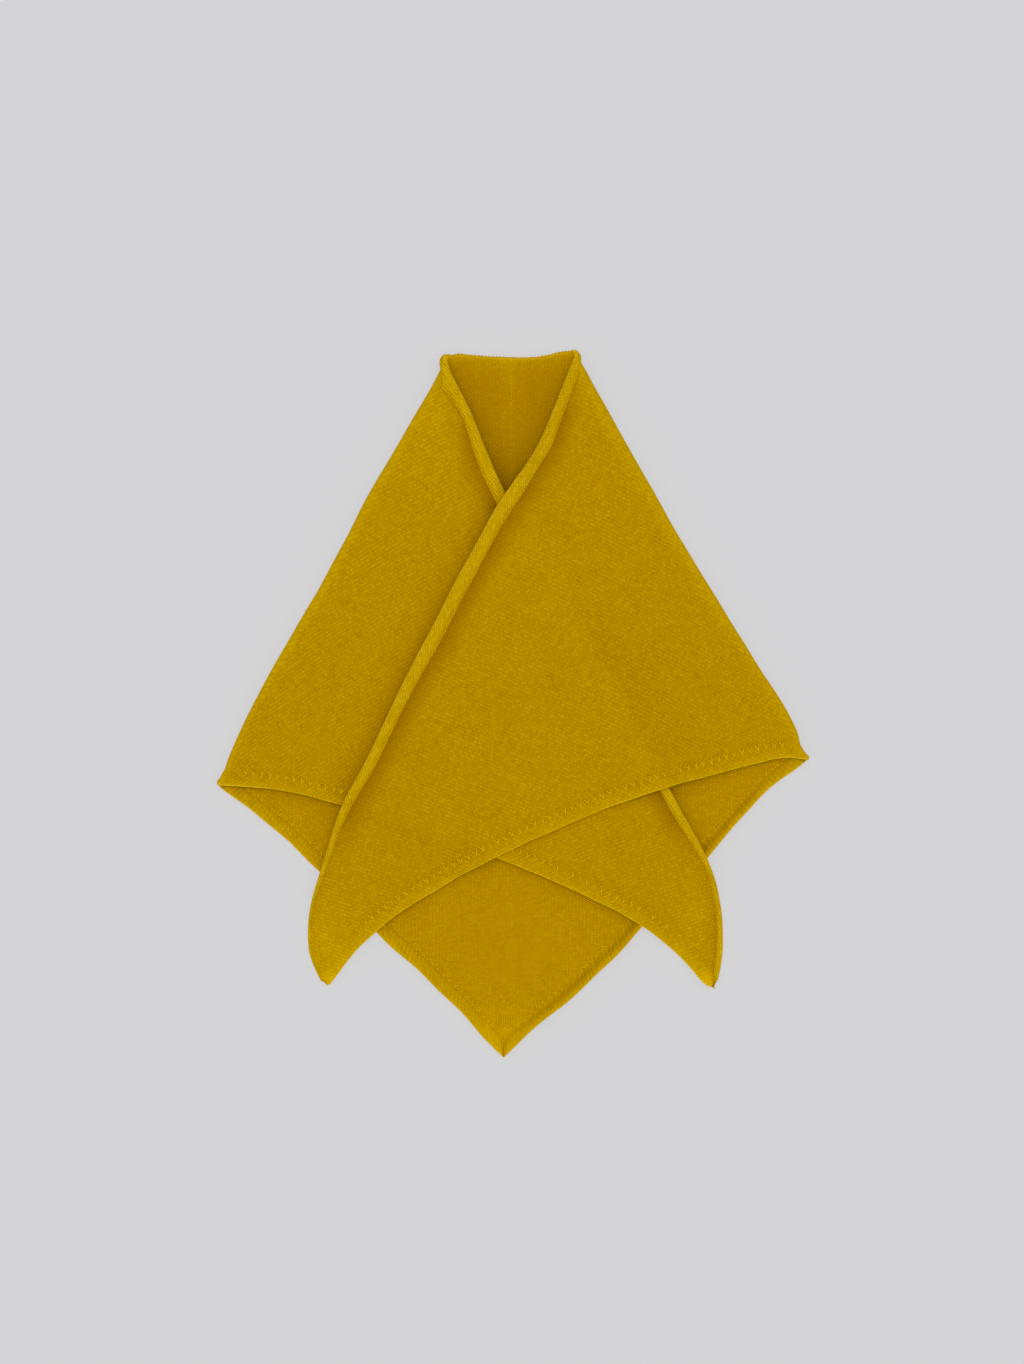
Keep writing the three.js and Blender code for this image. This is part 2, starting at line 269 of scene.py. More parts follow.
class Ribs:
    """A table of ribs, read at any share along it with a smooth curve through the rows."""

    def __init__(self, rows):
        grid = np.array(rows, float)
        count = len(grid)
        before = np.maximum(np.arange(count) - 1, 0)
        after = np.minimum(np.arange(count) + 1, count - 1)
        self.along = grid[:, 0]
        self.values = grid[:, 1:]
        rise = self.values[after] - self.values[before]
        self.slopes = rise / (self.along[after] - self.along[before])[:, None]

    def at(self, share):
        share = np.asarray(share, float)
        k = np.searchsorted(self.along, share, side="left") - 1
        k = np.clip(k, 0, len(self.along) - 2)
        span = (self.along[k + 1] - self.along[k])[..., None]
        t = np.clip((share - self.along[k])[..., None] / span, 0, 1)
        start = (2 * t**3 - 3 * t**2 + 1) * self.values[k]
        start_slope = (t**3 - 2 * t**2 + t) * span * self.slopes[k]
        end = (3 * t**2 - 2 * t**3) * self.values[k + 1]
        end_slope = (t**3 - t**2) * span * self.slopes[k + 1]
        return start + start_slope + end + end_slope

    def neck(self, share):
        return self.at(share)[..., 0:2] * (laid_width, laid_length)

    def hem(self, share):
        return self.at(share)[..., 2:4] * (laid_width, laid_length)

    def roll(self, share):
        return self.at(share)[..., 4]


left_wing = Ribs(left_wing_rows)
back_left = Ribs(back_left_rows)
back_right = Ribs(back_right_rows)
right_wing = Ribs(right_wing_rows)
roll_places = Ribs(roll_run)
hem_places = Ribs(hem_run)


def fold_directions(neck, hem, side):
    """In plan, the directions down a side fold and square out of it."""
    down = (hem - neck) / np.linalg.norm(hem - neck)
    out = (down[1], -down[0]) if side == "left" else (-down[1], down[0])
    return down, np.array(out)


out_left = fold_directions(left_wing.neck(1.0), left_wing.hem(1.0), "left")[1]
out_right = fold_directions(right_wing.neck(0.0), right_wing.hem(0.0), "right")[1]


def bow_at(bow, v):
    depth, at, more, more_at, top = bow
    power = at / (1 - at)
    v = np.clip(v, 0.0, 1.0)
    main = depth * v**power * (1 - v) / (at**power * (1 - at))
    second = more * hump(v - more_at, second_bow_width)
    at_roll = top * hump(v - roll_bow_at, roll_bow_width)
    return main + (second + at_roll)


def side_of(plan, start, end):
    """Distance in plan from a line, positive on its left side."""
    dx, dy = end[0] - start[0], end[1] - start[1]
    return (dx * (plan[..., 1] - start[1]) - dy * (plan[..., 0] - start[0])) / math.hypot(dx, dy)


corner_left = left_wing.hem(1.0)
corner_right = right_wing.hem(0.0)
apex = back_right.hem(0.0)
crossing = left_wing.neck(0.8)
reappears = left_wing.neck(0.3)
left_hem_out = left_wing.hem(0.36)
left_hem_in = left_wing.hem(0.62)


def back_height(plan):
    from_top = laid_length * back_top - plan[..., 1]
    return half_wall + neck_raise * (1 - smooth((from_top - roll_width) / raise_reach))


def wing_height(plan):
    share = plan[..., 1] / laid_length
    over_hollow = smooth((share - hollow_low) / (hollow_high - hollow_low))
    over_neck = smooth((share - neck_low) / (neck_high - neck_low))
    return mix(mix(wing_height_hem, wing_height_hollow, over_hollow), wing_height_top, over_neck)


def tip_height(v):
    """The wings' tips lie on the surface, a little higher on their turned hem."""
    return half_wall + (hem_wall + tip_slack) * smooth((v - 0.1) / 0.5)


def left_height(plan, v):
    fall = smooth(1 + side_of(plan, apex, corner_right) / tip_reach)
    return mix(tip_height(v), wing_height(plan), fall)


def lap_over(plan):
    """How far the right wing climbs over the left wing and over its rolled edge."""
    from_neck = -side_of(plan, crossing, reappears)
    from_hem = side_of(plan, left_hem_in, left_hem_out)
    above_hem = smooth(1 + (from_hem + lap_past_hem) / lap_fall)
    over_wing = smooth(1 + from_neck / ridge_reach)
    ridge = hump(from_neck - roll_width / 2, ridge_reach)
    return (lap_lift * over_wing + roll_ridge * ridge) * above_hem


def right_height(plan, v):
    fall = smooth(1 - side_of(plan, apex, corner_left) / tip_reach)
    return mix(tip_height(v), wing_height(plan) + lap_over(plan), fall)


def plan_point(ribs, share, v, bow_left, bow_right):
    plan = mix(ribs.neck(share), ribs.hem(share), v[..., None])
    plan = plan + out_left * (bow_left * bow_at(left_bow, v))[..., None]
    return plan + out_right * (bow_right * bow_at(right_bow, v))[..., None]


def fold_radius(plan):
    return (wing_height(plan) - back_height(plan)) / 2


def wing_plan(side, share, v):
    is_left = side == "left"
    near = (share if is_left else 1 - share) ** 6
    none = np.zeros_like(near)
    ribs = left_wing if is_left else right_wing
    plan = plan_point(ribs, share, v, near if is_left else none, none if is_left else near)
    out = out_left if is_left else out_right
    return plan - out * (near * fold_radius(plan))[..., None]


def back_plan(share, v):
    near_left = (1 - share) ** 8
    near_right = share**8
    left = plan_point(back_left, np.clip(share * 2, 0, 1), v, near_left, near_right)
    right = plan_point(back_right, np.clip(share * 2 - 1, 0, 1), v, near_left, near_right)
    plan = np.where((share < 0.5)[..., None], left, right)
    radius = fold_radius(plan)[..., None]
    return plan - out_left * near_left[..., None] * radius - out_right * near_right[..., None] * radius


# Fine waves that a steamed knit keeps. They depend on the place in plan alone, so layers never meet.
wave_seed = np.random.default_rng(11)
wave_count = 14
wave_lengths = wave_seed.uniform(26, 95, wave_count)
wave_angles = wave_seed.uniform(0, math.pi, wave_count)
wave_starts = wave_seed.uniform(0, 2 * math.pi, wave_count)
wave_size = 0.16


def waves(plan):
    total = np.zeros(plan.shape[:-1])
    for length, angle, start in zip(wave_lengths, wave_angles, wave_starts):
        across = plan[..., 0] * math.cos(angle) + plan[..., 1] * math.sin(angle)
        total += np.sin(across * 2 * math.pi / length + start) * (length / 60) ** 0.8
    return total * wave_size


def wing_point(side, share, v):
    plan = wing_plan(side, share, v)
    height = left_height(plan, v) if side == "left" else right_height(plan, v)
    tip = smooth(((share if side == "left" else 1 - share) - 0.02) / 0.3)
    height = height + waves(plan) * mix(0.2, 1.0, tip)
    return np.concatenate([plan, height[..., None]], axis=-1)


def back_point(share, v):
    plan = back_plan(share, v)
    height = back_height(plan) + 0.25 * np.abs(waves(plan))
    return np.concatenate([plan, height[..., None]], axis=-1)


def fold_point(side, turn, v):
    ones = np.ones_like(turn)
    is_left = side == "left"
    wing = wing_point(side, ones if is_left else 0 * ones, v)
    back = back_point(0 * ones if is_left else ones, v)
    out = out_left if is_left else out_right
    angle = turn * math.pi
    to_back = ((1 - np.cos(angle)) / 2)[..., None]
    point = mix(wing, back, to_back)
    radius = (wing[..., 2] - back[..., 2]) / 2
    point[..., 0:2] += out * (radius * np.sin(angle))[..., None]
    return point


def by_region(u, v, width, left, left_fold, back, right_fold, right):
    """Fills an array over the cloth, each region by its own rule."""
    u, v = np.broadcast_arrays(np.asarray(u, float), np.asarray(v, float))
    result = np.empty(u.shape + (width,))
    steps = (
        (u <= 1, left, lambda x: np.maximum(x, 0)),
        ((u > 1) & (u <= 2), left_fold, lambda x: x - 1),
        ((u > 2) & (u <= 3), back, lambda x: x - 2),
        ((u > 3) & (u <= 4), right_fold, lambda x: 4 - x),
        (u > 4, right, lambda x: np.minimum(x - 4, 1)),
    )
    for inside, rule, share in steps:
        if inside.any():
            result[inside] = rule(share(u[inside]), v[inside])
    return result


def cloth_point(u, v):
    return by_region(
        u,
        v,
        3,
        lambda s, w: wing_point("left", s, w),
        lambda s, w: fold_point("left", s, w),
        back_point,
        lambda s, w: fold_point("right", s, w),
        lambda s, w: wing_point("right", s, w),
    )


# The knit's own flat plane: the back lies as it is, and each wing is turned back over its fold line.
fold_lines = {
    "left": (np.array((-39.2, 201.1)), np.array((-173.0, -47.2))),
    "right": (np.array((37.1, 201.1)), np.array((173.3, -32.5))),
}
fold_slack = 4.6
bend_radii = {"left": 1050.0, "right": 1500.0}
bend_centre = 215.0


def unfolded(side, plan):
    start, end = fold_lines[side]
    along, out = fold_directions(start, end, side)
    offset = plan - start
    down = offset @ along
    beyond = fold_slack - offset @ out
    bend_radius = bend_radii[side]
    # The wing's wales drift slowly round towards its tip.
    turn = bend_radius - (down - bend_centre)
    angle = np.arctan2(np.maximum(beyond, -20), turn)
    reach = np.hypot(beyond, turn)
    beyond_flat = bend_radius * angle
    down_flat = bend_centre + bend_radius - reach
    return start + along * down_flat[..., None] + out * beyond_flat[..., None]


def flat_wing(side, share, v):
    return unfolded(side, wing_plan(side, share, v))


def flat_fold(side, turn, v):
    ones = np.ones_like(turn)
    is_left = side == "left"
    wing = flat_wing(side, ones if is_left else 0 * ones, v)
    back = back_plan(0 * ones if is_left else ones, v)
    return mix(wing, back, turn[..., None])


def cloth_flat(u, v):
    return by_region(
        u,
        v,
        2,
        lambda s, w: flat_wing("left", s, w),
        lambda s, w: flat_fold("left", s, w),
        back_plan,
        lambda s, w: flat_fold("right", s, w),
        lambda s, w: flat_wing("right", s, w),
    )


# Steps along the cloth and along a rib, over which directions are taken.
short_step = 0.002
rib_step = 0.004


def unit(vectors):
    return vectors / np.maximum(np.linalg.norm(vectors, axis=-1, keepdims=True), 1e-9)


def along_cloth(u, v, step):
    """From a short step before a place to a short step past it, along the cloth."""
    return cloth_point(np.minimum(5, u + step), v) - cloth_point(np.maximum(0, u - step), v)


def cloth_frame(u, v):
    """The cloth's middle, its outer normal and its inward direction."""
    along = along_cloth(u, v, short_step)
    rib = cloth_point(u, np.minimum(1, v + rib_step)) - cloth_point(u, v - rib_step)
    normal = unit(np.cross(along, rib))
    inward = unit(np.cross(normal, along))
    return cloth_point(u, v), normal, inward


def across_rib(u, v_edge):
    """Width of the cloth along a rib, square to the neck edge or to the hem."""
    edge = unit(along_cloth(u, np.full_like(u, v_edge), rib_step))
    rib = cloth_point(u, np.ones_like(u)) - cloth_point(u, np.zeros_like(u))
    square = rib - edge * np.sum(rib * edge, axis=-1, keepdims=True)
    return np.linalg.norm(square, axis=-1)


def roll_share(u):
    u = np.asarray(u, float)
    left = left_wing.roll(np.clip(u, 0, 1))
    right = right_wing.roll(np.clip(u - 4, 0, 1))
    return np.where(u <= 1, left, np.where(u >= 4, right, 1.0))


def stations(wing_steps, fold_steps, back_steps):
    wing = (np.arange(wing_steps) / wing_steps) ** 1.2
    fold = np.arange(fold_steps) / fold_steps
    back = np.arange(back_steps) / back_steps
    return np.concatenate([wing, 1 + fold, 2 + back, 3 + fold, 5 - wing[::-1][:-1], [5.0]])


# Meshes.
def link(name, mesh):
    piece = bpy.data.objects.new(name, mesh)
    bpy.context.scene.collection.objects.link(piece)
    return piece


def cloth_sweep(name, points, flat, inside, pale, material):
    """Joins rings of equal length into one closed body with flat ends."""
    rings, count = points.shape[:2]
    i, k = np.meshgrid(np.arange(rings - 1), np.arange(count), indexing="ij")
    a = i * count + k
    b = i * count + (k + 1) % count
    sides = np.stack([a, b, b + count, a + count], axis=-1).reshape(-1, 4)
    last = (rings - 1) * count
    points = points.copy()
    points[..., 2] = np.maximum(points[..., 2], lowest)
    k = np.arange(count // 2 - 1)
    across = count - 1 - k
    start_cap = np.stack([k + 1, k, across, across - 1], axis=-1)
    end_cap = np.stack([last + k, last + k + 1, last + across - 1, last + across], axis=-1)
    faces = np.concatenate([sides, start_cap, end_cap])
    where = points.reshape(-1, 3)
    first, second, third, fourth = (where[faces[:, n]] for n in range(4))
    volume = np.sum(np.cross(third - first, fourth - second) * first)
    # The faces are to point outwards.
    if volume < 0:
        faces = faces[:, ::-1]
    mesh = bpy.data.meshes.new(name)
    mesh.from_pydata((where * MM).tolist(), [], faces.tolist())
    corners = np.empty(len(mesh.loops), np.int32)
    mesh.loops.foreach_get("vertex_index", corners)
    layer = mesh.uv_layers.new(name="knit_grid")
    grid = flat.reshape(-1, 2)[corners].astype(np.float32)
    layer.data.foreach_set("uv", grid.ravel())
    side = mesh.attributes.new("inner_side", "FLOAT", "POINT")
    side.data.foreach_set("value", inside.reshape(-1).astype(np.float32))
    # Painted light and shade, as tones paler or deeper than the yarn, on each point.
    painted_light_layer = mesh.attributes.new("painted_light_and_shade", "FLOAT", "POINT")
    painted_light_layer.data.foreach_set("value", pale.reshape(-1).astype(np.float32))
    mesh.shade_smooth()
    mesh.materials.append(material)
    return link(name, mesh)


# Materials.
def math_node(tree, operation, *values):
    """A math node on values that are numbers or other nodes' outputs."""
    node = tree.nodes.new("ShaderNodeMath")
    node.operation = operation
    for socket, value in zip(node.inputs, values):
        if isinstance(value, (int, float)):
            socket.default_value = value
        else:
            tree.links.new(value, socket)
    return node.outputs[0]


class Shade:
    """Builds a node material from short expressions."""

    def __init__(self, name):
        self.material = bpy.data.materials.new(name)
        self.material.use_nodes = True
        self.tree = self.material.node_tree
        self.tree.nodes.clear()
        self.output = self.tree.nodes.new("ShaderNodeOutputMaterial")
        self.surface = self.tree.nodes.new("ShaderNodeBsdfPrincipled")
        self.tree.links.new(self.surface.outputs[0], self.output.inputs[0])

    def math(self, operation, *values):
        return math_node(self.tree, operation, *values)

    def add(self, a, b):
        return self.math("ADD", a, b)

    def times(self, a, b):
        return self.math("MULTIPLY", a, b)

    def total(self, first, *others):
        """Adds up pairs of a value and its weight."""
        result = self.times(*first)
        for pair in others:
            result = self.add(result, self.times(*pair))
        return result

    def wave(self, phase):
        return self.math("COSINE", self.times(phase, 2 * math.pi))

    def grid(self):
        node = self.tree.nodes.new("ShaderNodeUVMap")
        node.uv_map = "knit_grid"
        parts = self.tree.nodes.new("ShaderNodeSeparateXYZ")
        self.tree.links.new(node.outputs[0], parts.inputs[0])
        return parts.outputs[0], parts.outputs[1]

    def painted(self, name):
        node = self.tree.nodes.new("ShaderNodeAttribute")
        node.attribute_name = name
        return node.outputs["Fac"]

    def pair(self, x, y):
        node = self.tree.nodes.new("ShaderNodeCombineXYZ")
        self.tree.links.new(x, node.inputs[0])
        self.tree.links.new(y, node.inputs[1])
        return node.outputs[0]

    def each_stitch(self, across, up):
        """A value from -0.5 to 0.5 that is its own for every stitch."""
        node = self.tree.nodes.new("ShaderNodeTexWhiteNoise")
        node.noise_dimensions = "2D"
        cell = self.pair(self.math("FLOOR", across), self.math("FLOOR", up))
        self.tree.links.new(cell, node.inputs["Vector"])
        return self.add(node.outputs["Value"], -0.5)

    def place(self):
        return self.tree.nodes.new("ShaderNodeTexCoord").outputs["Object"]

    def noise(self, place, scale, detail=2.0, rough=0.5, distortion=0.0):
        node = self.tree.nodes.new("ShaderNodeTexNoise")
        node.inputs["Scale"].default_value = scale
        node.inputs["Detail"].default_value = detail
        node.inputs["Roughness"].default_value = rough
        node.inputs["Distortion"].default_value = distortion
        self.tree.links.new(place, node.inputs["Vector"])
        return self.add(node.outputs[0], -0.5)

    def blend(self, factor, a, b):
        """a where factor is 0, b where it is 1."""
        if isinstance(a, float):
            return self.add(self.times(factor, b - a), a)
        return self.add(a, self.times(factor, self.math("SUBTRACT", b, a)))

    def yarn(self, tone):
        """The yarn's colour for a tone."""
        share = self.tree.nodes.new("ShaderNodeMapRange")
        share.inputs["From Min"].default_value = -tone_reach
        share.inputs["From Max"].default_value = tone_reach + fluff_and_rim_light_reach
        self.tree.links.new(tone, share.inputs["Value"])
        node = self.tree.nodes.new("ShaderNodeValToRGB")
        node.color_ramp.elements[0].color = (*deep_mustard, 1)
        node.color_ramp.elements[1].color = (*fluff_and_rim_light_mustard, 1)
        pale = node.color_ramp.elements.new(2 * tone_reach / (2 * tone_reach + fluff_and_rim_light_reach))
        pale.color = (*pale_mustard, 1)
        self.tree.links.new(share.outputs[0], node.inputs[0])
        return node.outputs[0]

    def tint(self, colour, share, by):
        node = self.tree.nodes.new("ShaderNodeMix")
        node.data_type = "RGBA"
        node.blend_type = "MULTIPLY"
        self.tree.links.new(share, node.inputs[0])
        self.tree.links.new(colour, node.inputs[6])
        node.inputs[7].default_value = (*by, 1)
        return node.outputs[2]

    def bump(self, height, distance, strength):
        node = self.tree.nodes.new("ShaderNodeBump")
        node.inputs["Distance"].default_value = distance
        node.inputs["Strength"].default_value = strength
        self.tree.links.new(height, node.inputs["Height"])
        return node.outputs[0]

    def finish(self, colour, roughness, normal):
        self.tree.links.new(colour, self.surface.inputs["Base Color"])
        self.tree.links.new(roughness, self.surface.inputs["Roughness"])
        if normal is not None:
            self.tree.links.new(normal, self.surface.inputs["Normal"])
        self.surface.inputs["Specular IOR Level"].default_value = 0.0
        self.surface.inputs["Sheen Weight"].default_value = 0.25
        self.surface.inputs["Sheen Roughness"].default_value = 0.5
        self.surface.inputs["Sheen Tint"].default_value = (1.0, 0.72, 0.0, 1)
        return self.material


# The yarn's colour runs from deep to pale over tones of -1.5 to 1.5.
deep_mustard = (0.223, 0.066, 0.0)
pale_mustard = (0.787, 0.495, 0.0003)
tone_reach = 1.5
# Above that reach the colour goes on to that of the pale fluff along the outline, with painted light on
# it.
fluff_and_rim_light_mustard = (0.95, 0.74, 0.14)
fluff_and_rim_light_reach = 1.5
roll_tone = 0.78
thread_tone = 1.0
inner_tone = 0.2
inner_tint = (1.02, 0.975, 1.0)


def jersey_material():
    """Plain jersey: columns of V stitches on the outer side, slanting purl loops on the inner side."""
    shade = Shade("mustard_jersey")
    across, up = shade.grid()
    place = shade.place()
    inner = shade.painted("inner_side")
    sway = shade.noise(place, 260.0, detail=2.0)
    slip = shade.noise(place, 190.0, detail=2.0, distortion=0.4)
    across = shade.add(across, shade.times(sway, 0.45))
    up = shade.add(up, shade.times(slip, 0.6))
    share = shade.math("FRACT", across)
    from_middle = shade.math("ABSOLUTE", shade.add(shade.times(share, 2.0), -1.0))
    legs = shade.times(shade.wave(shade.times(across, 2.0)), -1.0)
    columns = shade.times(shade.wave(across), -1.0)
    strands = shade.wave(shade.add(up, shade.times(from_middle, 0.62)))
    lean = shade.wave(shade.add(across, up))
    counter = shade.wave(shade.math("SUBTRACT", across, up))
    rows = shade.wave(up)
    row_pairs = shade.wave(shade.times(up, 0.5))
    outer_legs = shade.total((columns, 0.3), (legs, 0.15), (strands, 0.32))
    face = shade.total((outer_legs, 1.0), (lean, 0.42), (rows, 0.14), (row_pairs, 0.07))
    purl = shade.total((lean, 0.62), (counter, 0.42), (columns, 0.13))
    knit = shade.blend(inner, face, purl)
    stitch = shade.each_stitch(across, up)
    fibres = shade.noise(place, 1300.0, detail=3.0, rough=0.7)
    tufts = shade.noise(place, 430.0, detail=2.0, rough=0.6)
    blotch = shade.noise(place, 150.0, detail=2.0, rough=0.5)
    cloud = shade.noise(place, 55.0, detail=3.0, rough=0.6)
    drift = shade.noise(place, 9.0, detail=2.0, rough=0.5)
    streak = shade.noise(shade.pair(across, shade.times(up, 0.04)), 0.42, detail=2.0, rough=0.6)
    # The painted light and shade is read here and added to the tone.
    pale = shade.painted("painted_light_and_shade")
    # The knit shows less where the cloth lies deep in shade.
    shown = shade.add(shade.times(pale, 1.4), 1.0)
    shown = shade.math("MINIMUM", shade.math("MAXIMUM", shown, 0.45), 1.0)
    shown = shade.times(shown, shade.blend(inner, 1.0, 1.3))
    loose = shade.total((stitch, 0.42), (fibres, 2.1), (tufts, 0.3), (blotch, 0.1))
    loose_share, knit_share = shade.blend(inner, 1.0, 0.62), shade.blend(inner, 0.42, 0.5)
    grain = shade.total((knit, knit_share), (loose, loose_share))
    tone = shade.total((grain, shown), (streak, shade.blend(inner, 0.12, 0.3)))
    tone = shade.total((tone, 1.0), (cloud, 0.25), (drift, 0.12), (pale, 1.0), (inner, inner_tone))
    colour = shade.yarn(tone)
    colour = shade.tint(colour, inner, inner_tint)
    rough = shade.add(shade.times(fibres, 0.2), 0.92)
    height = shade.add(knit, shade.times(fibres, 0.9))
    return shade.finish(colour, rough, shade.bump(height, 0.00022, 0.7))


def roll_material():
    """The rolled edge shows the purl side, pulled into slanting strokes, one to each wale."""
    shade = Shade("mustard_rolled_edge")
    stroke, around = shade.grid()
    place = shade.place()
    sway = shade.noise(place, 230.0, detail=2.0)
    stroke = shade.add(stroke, shade.times(sway, 0.5))
    around = shade.add(around, shade.times(sway, 0.5))
    ridges = shade.wave(stroke)
    crest = shade.math("POWER", shade.add(shade.times(ridges, 0.5), 0.5), 3.0)
    rows = shade.wave(around)
    knit = shade.add(shade.total((crest, 1.5), (rows, 0.2)), -0.5)
    stitch = shade.each_stitch(stroke, around)
    fibres = shade.noise(place, 1200.0, detail=3.0, rough=0.7)
    tufts = shade.noise(place, 430.0, detail=2.0, rough=0.6)
    cloud = shade.noise(place, 60.0, detail=3.0, rough=0.6)
    # The painted light and shade is read here and added to the tone.
    pale = shade.painted("painted_light_and_shade")
    parts = ((knit, 0.75), (stitch, 0.6), (fibres, 1.4), (tufts, 0.4), (cloud, 0.25), (pale, 1.0))
    tone = shade.total(*parts)
    colour = shade.yarn(shade.add(tone, roll_tone))
    rough = shade.add(shade.times(fibres, 0.2), 0.9)
    height = shade.add(knit, shade.times(fibres, 0.8))
    return shade.finish(colour, rough, shade.bump(height, 0.0003, 0.8))


def thread_material():
    """Sewing and cast-off threads: the same yarn, a little paler."""
    shade = Shade("mustard_thread")
    place = shade.place()
    fibres = shade.noise(place, 1400.0, detail=3.0, rough=0.7)
    cloud = shade.noise(place, 90.0, detail=2.0, rough=0.5)
    tone = shade.total((fibres, 0.8), (cloud, 0.5))
    colour = shade.yarn(shade.add(tone, thread_tone))
    rough = shade.add(shade.times(fibres, 0.2), 0.88)
    return shade.finish(colour, rough, shade.bump(fibres, 0.0002, 0.5))


jersey = jersey_material()
rolled = roll_material()
thread = thread_material()


# The folded panel. Its outer side is a little full over the turned hem and dips past the stitch row.
hem_fullness = 0.42
full_reach = 1.6
hem_dip = 0.2
dip_past_row = 2.2
dip_reach = 1.3

# The back's right hem curls up: mm that its edge lifts, and mm that it is drawn in, first near the
# lower point and then towards the corner. Its left hem lifts a little.
curl_lift = 2.2
left_lift = 0.35
lift_reach = 6.5
curl_draw = (0.7, 1.9)
pull_reach = 14.0
# The slow ripple of a steamed hem: mm in size, how fast it turns along the cloth, and its start.
hem_ripples = ((0.3, 46.0, 0.6), (0.25, 83.0, 2.0))
wing_ripple = 0.35


def hem_swell(from_edge):
    full = hem_fullness * smooth(from_edge / full_reach)
    full = full * smooth((hem_row + full_reach - from_edge) / (2 * full_reach))
    return full - hem_dip * hump(from_edge - hem_row - dip_past_row, dip_reach)


def right_curl(u):
    """Where the back's right hem curls up along its edge."""
    return smooth((u - 2.47) / 0.1) * smooth((3.0 - u) / 0.12)


def edge_curl(u, from_edge):
    left = smooth((2.54 - u) / 0.08) * smooth((u - 1.9) / 0.12)
    return (curl_lift * right_curl(u) + left_lift * left) * smooth(1 - from_edge / lift_reach)


def edge_pull(u, from_edge):
    """How far the edge is drawn in: by its curl and ripple, less what it stands out from the ribs."""
    drawn = right_curl(u) * mix(*curl_draw, smooth((u - 2.62) / 0.2))
    on_back = between(u, 1.95, 3.05, 0.1)
    ripple = sum(size * np.sin(u * speed + start) for size, speed, start in hem_ripples)
    stands_out = hem_places.at(u)[..., 0]
    pull = drawn + ripple * mix(wing_ripple, 1.0, on_back) - stands_out
    return pull * smooth(1 - from_edge / pull_reach)


def drawn_point(point, near, from_edge):
    """How far a lower corner is drawn outward."""
    tip, waist = point
    drawn_in = waist * hump(from_edge - waist_from_edge, waist_reach)
    return near * (tip * hump(from_edge, point_reach) - drawn_in)


def moved_edge(at, inward, u, from_edge):
    at = at + np.array((0, 0, 1.0)) * edge_curl(u, from_edge)[..., None]
    at = at - inward * edge_pull(u, from_edge)[..., None]
    near_left = smooth((u - 0.95) / 0.05) * smooth((2.03 - u) / 0.03)
    near_right = smooth((u - 2.97) / 0.03) * smooth((4.05 - u) / 0.05)
    at[..., :2] += out_left * drawn_point(left_point, near_left, from_edge)[..., None]
    at[..., :2] += out_right * drawn_point(right_point, near_right, from_edge)[..., None]
    return at


def spot(plan, middle, reach):
    away = np.hypot(plan[..., 0] - middle[0], plan[..., 1] - middle[1])
    return hump(away, reach)


def to_right_roll(plan):
    """Distance in plan from the right wing's rolled edge."""
    nearest = np.full(plan.shape[:-1], np.inf)
    for x, y in right_wing.neck(np.linspace(0.15, 0.84, 90)):
        nearest = np.minimum(nearest, np.hypot(plan[..., 0] - x, plan[..., 1] - y))
    return nearest


# How much paler a part is than the rest, in tones, and the reach in mm over which that fades.
# Painted light along the hem edge, at the lower corners and wing tips, at the neck edge and along the
# turned hems; the fluff ones are partly the pale fluff of the outline.
# The contact tone is a painted shadow where the left wing lies under the right wing's roll.
edge_tone = (0.5, 1.3)
edge_fluff_and_light_tone = (0.9, 0.4)
corner_rim_tone = (0.5, 0.9)
tip_rim_tone = (0.3, 2.5)
contact_shadow_tone = (-0.5, 6.0)
neck_tone = (0.5, 4.0)
neck_fluff_and_light_tone = (1.1, 0.6)
inner_edge_tone = (0.2, 2.0)
hem_edge_tone = (0.4, 1.4)
hem_fluff_and_light_tone = (1.5, 0.4)

# Parts of one even tone, and how far two of them reach in mm.
# Painted light over the turned hem, on the side folds and with the pale fluff along the back's outline;
# painted shade beside the rolls and inside the V.
turned_hem_light_tone = 0.2
turned_hem_reach = 10.5
beside_roll_shade_tone = -0.62
beside_roll_reach = 13.0
left_fold_light_tone = 0.6
right_fold_light_tone = 0.55
v_shade_tone = -0.36
back_fluff_and_light_tone = 0.9

# Places in plan that are paler or deeper than the rest: middle and reach in mm, and how much paler.
# Painted light on the wing tips, most at the very tips.
tip_light_places = [
    ((-112, -155), 26, 0.25),
    ((-114, -130), 18, 0.25),
    ((114, -155), 20, 0.2),
    ((108, -122), 16, 0.25),
    ((115, -163), 5, 0.8),
    ((-108, -163), 5, 0.4),
]
shoulder_places = [
    ((-56, 158), 30, 0.2),
    ((-47, 188), 15, 0.5),
    ((43, 190), 13, 0.3),
]
# Painted shade deep in the V and on the lower back, and painted light at the lower point.
inner_light_and_shade_places = [
    ((-8, 130), 20, -0.38),
    ((-5, -125), 40, -0.05),
    ((-5, -189), 9, 0.6),
]


def fading(away, tone):
    amount, reach = tone
    return amount * np.exp(-away / reach)


def placed(plan, places):
    return sum(amount * spot(plan, middle, reach) for middle, reach, amount in places)


def painted_drape_shading(plan):
    """Painted light and shade where the right wing lies over the left wing's roll and hem: a lit crest,
    a shaded crease and hollow past the roll, and a shaded line past the hem.
    """
    past_roll = side_of(plan, crossing, reappears)
    past_hem = -side_of(plan, left_hem_in, left_hem_out)
    down = crossing[1] - plan[..., 1]
    along_roll = smooth((down - 40) / 70) * smooth((205 - down) / 30)
    along_hem = smooth((plan[..., 0] + 120) / 30) * smooth((10 - plan[..., 0]) / 30)
    crest = 0.05 * hump(past_roll + 6, 7)
    painted_crease = -0.1 * hump(past_roll - 5.5, 3.5)
    hollow = -0.08 * smooth(past_roll / 6) * smooth(1 - past_roll / 60)
    return (crest + painted_crease + hollow) * along_roll - 0.1 * hump(past_hem - 4, 3) * along_hem


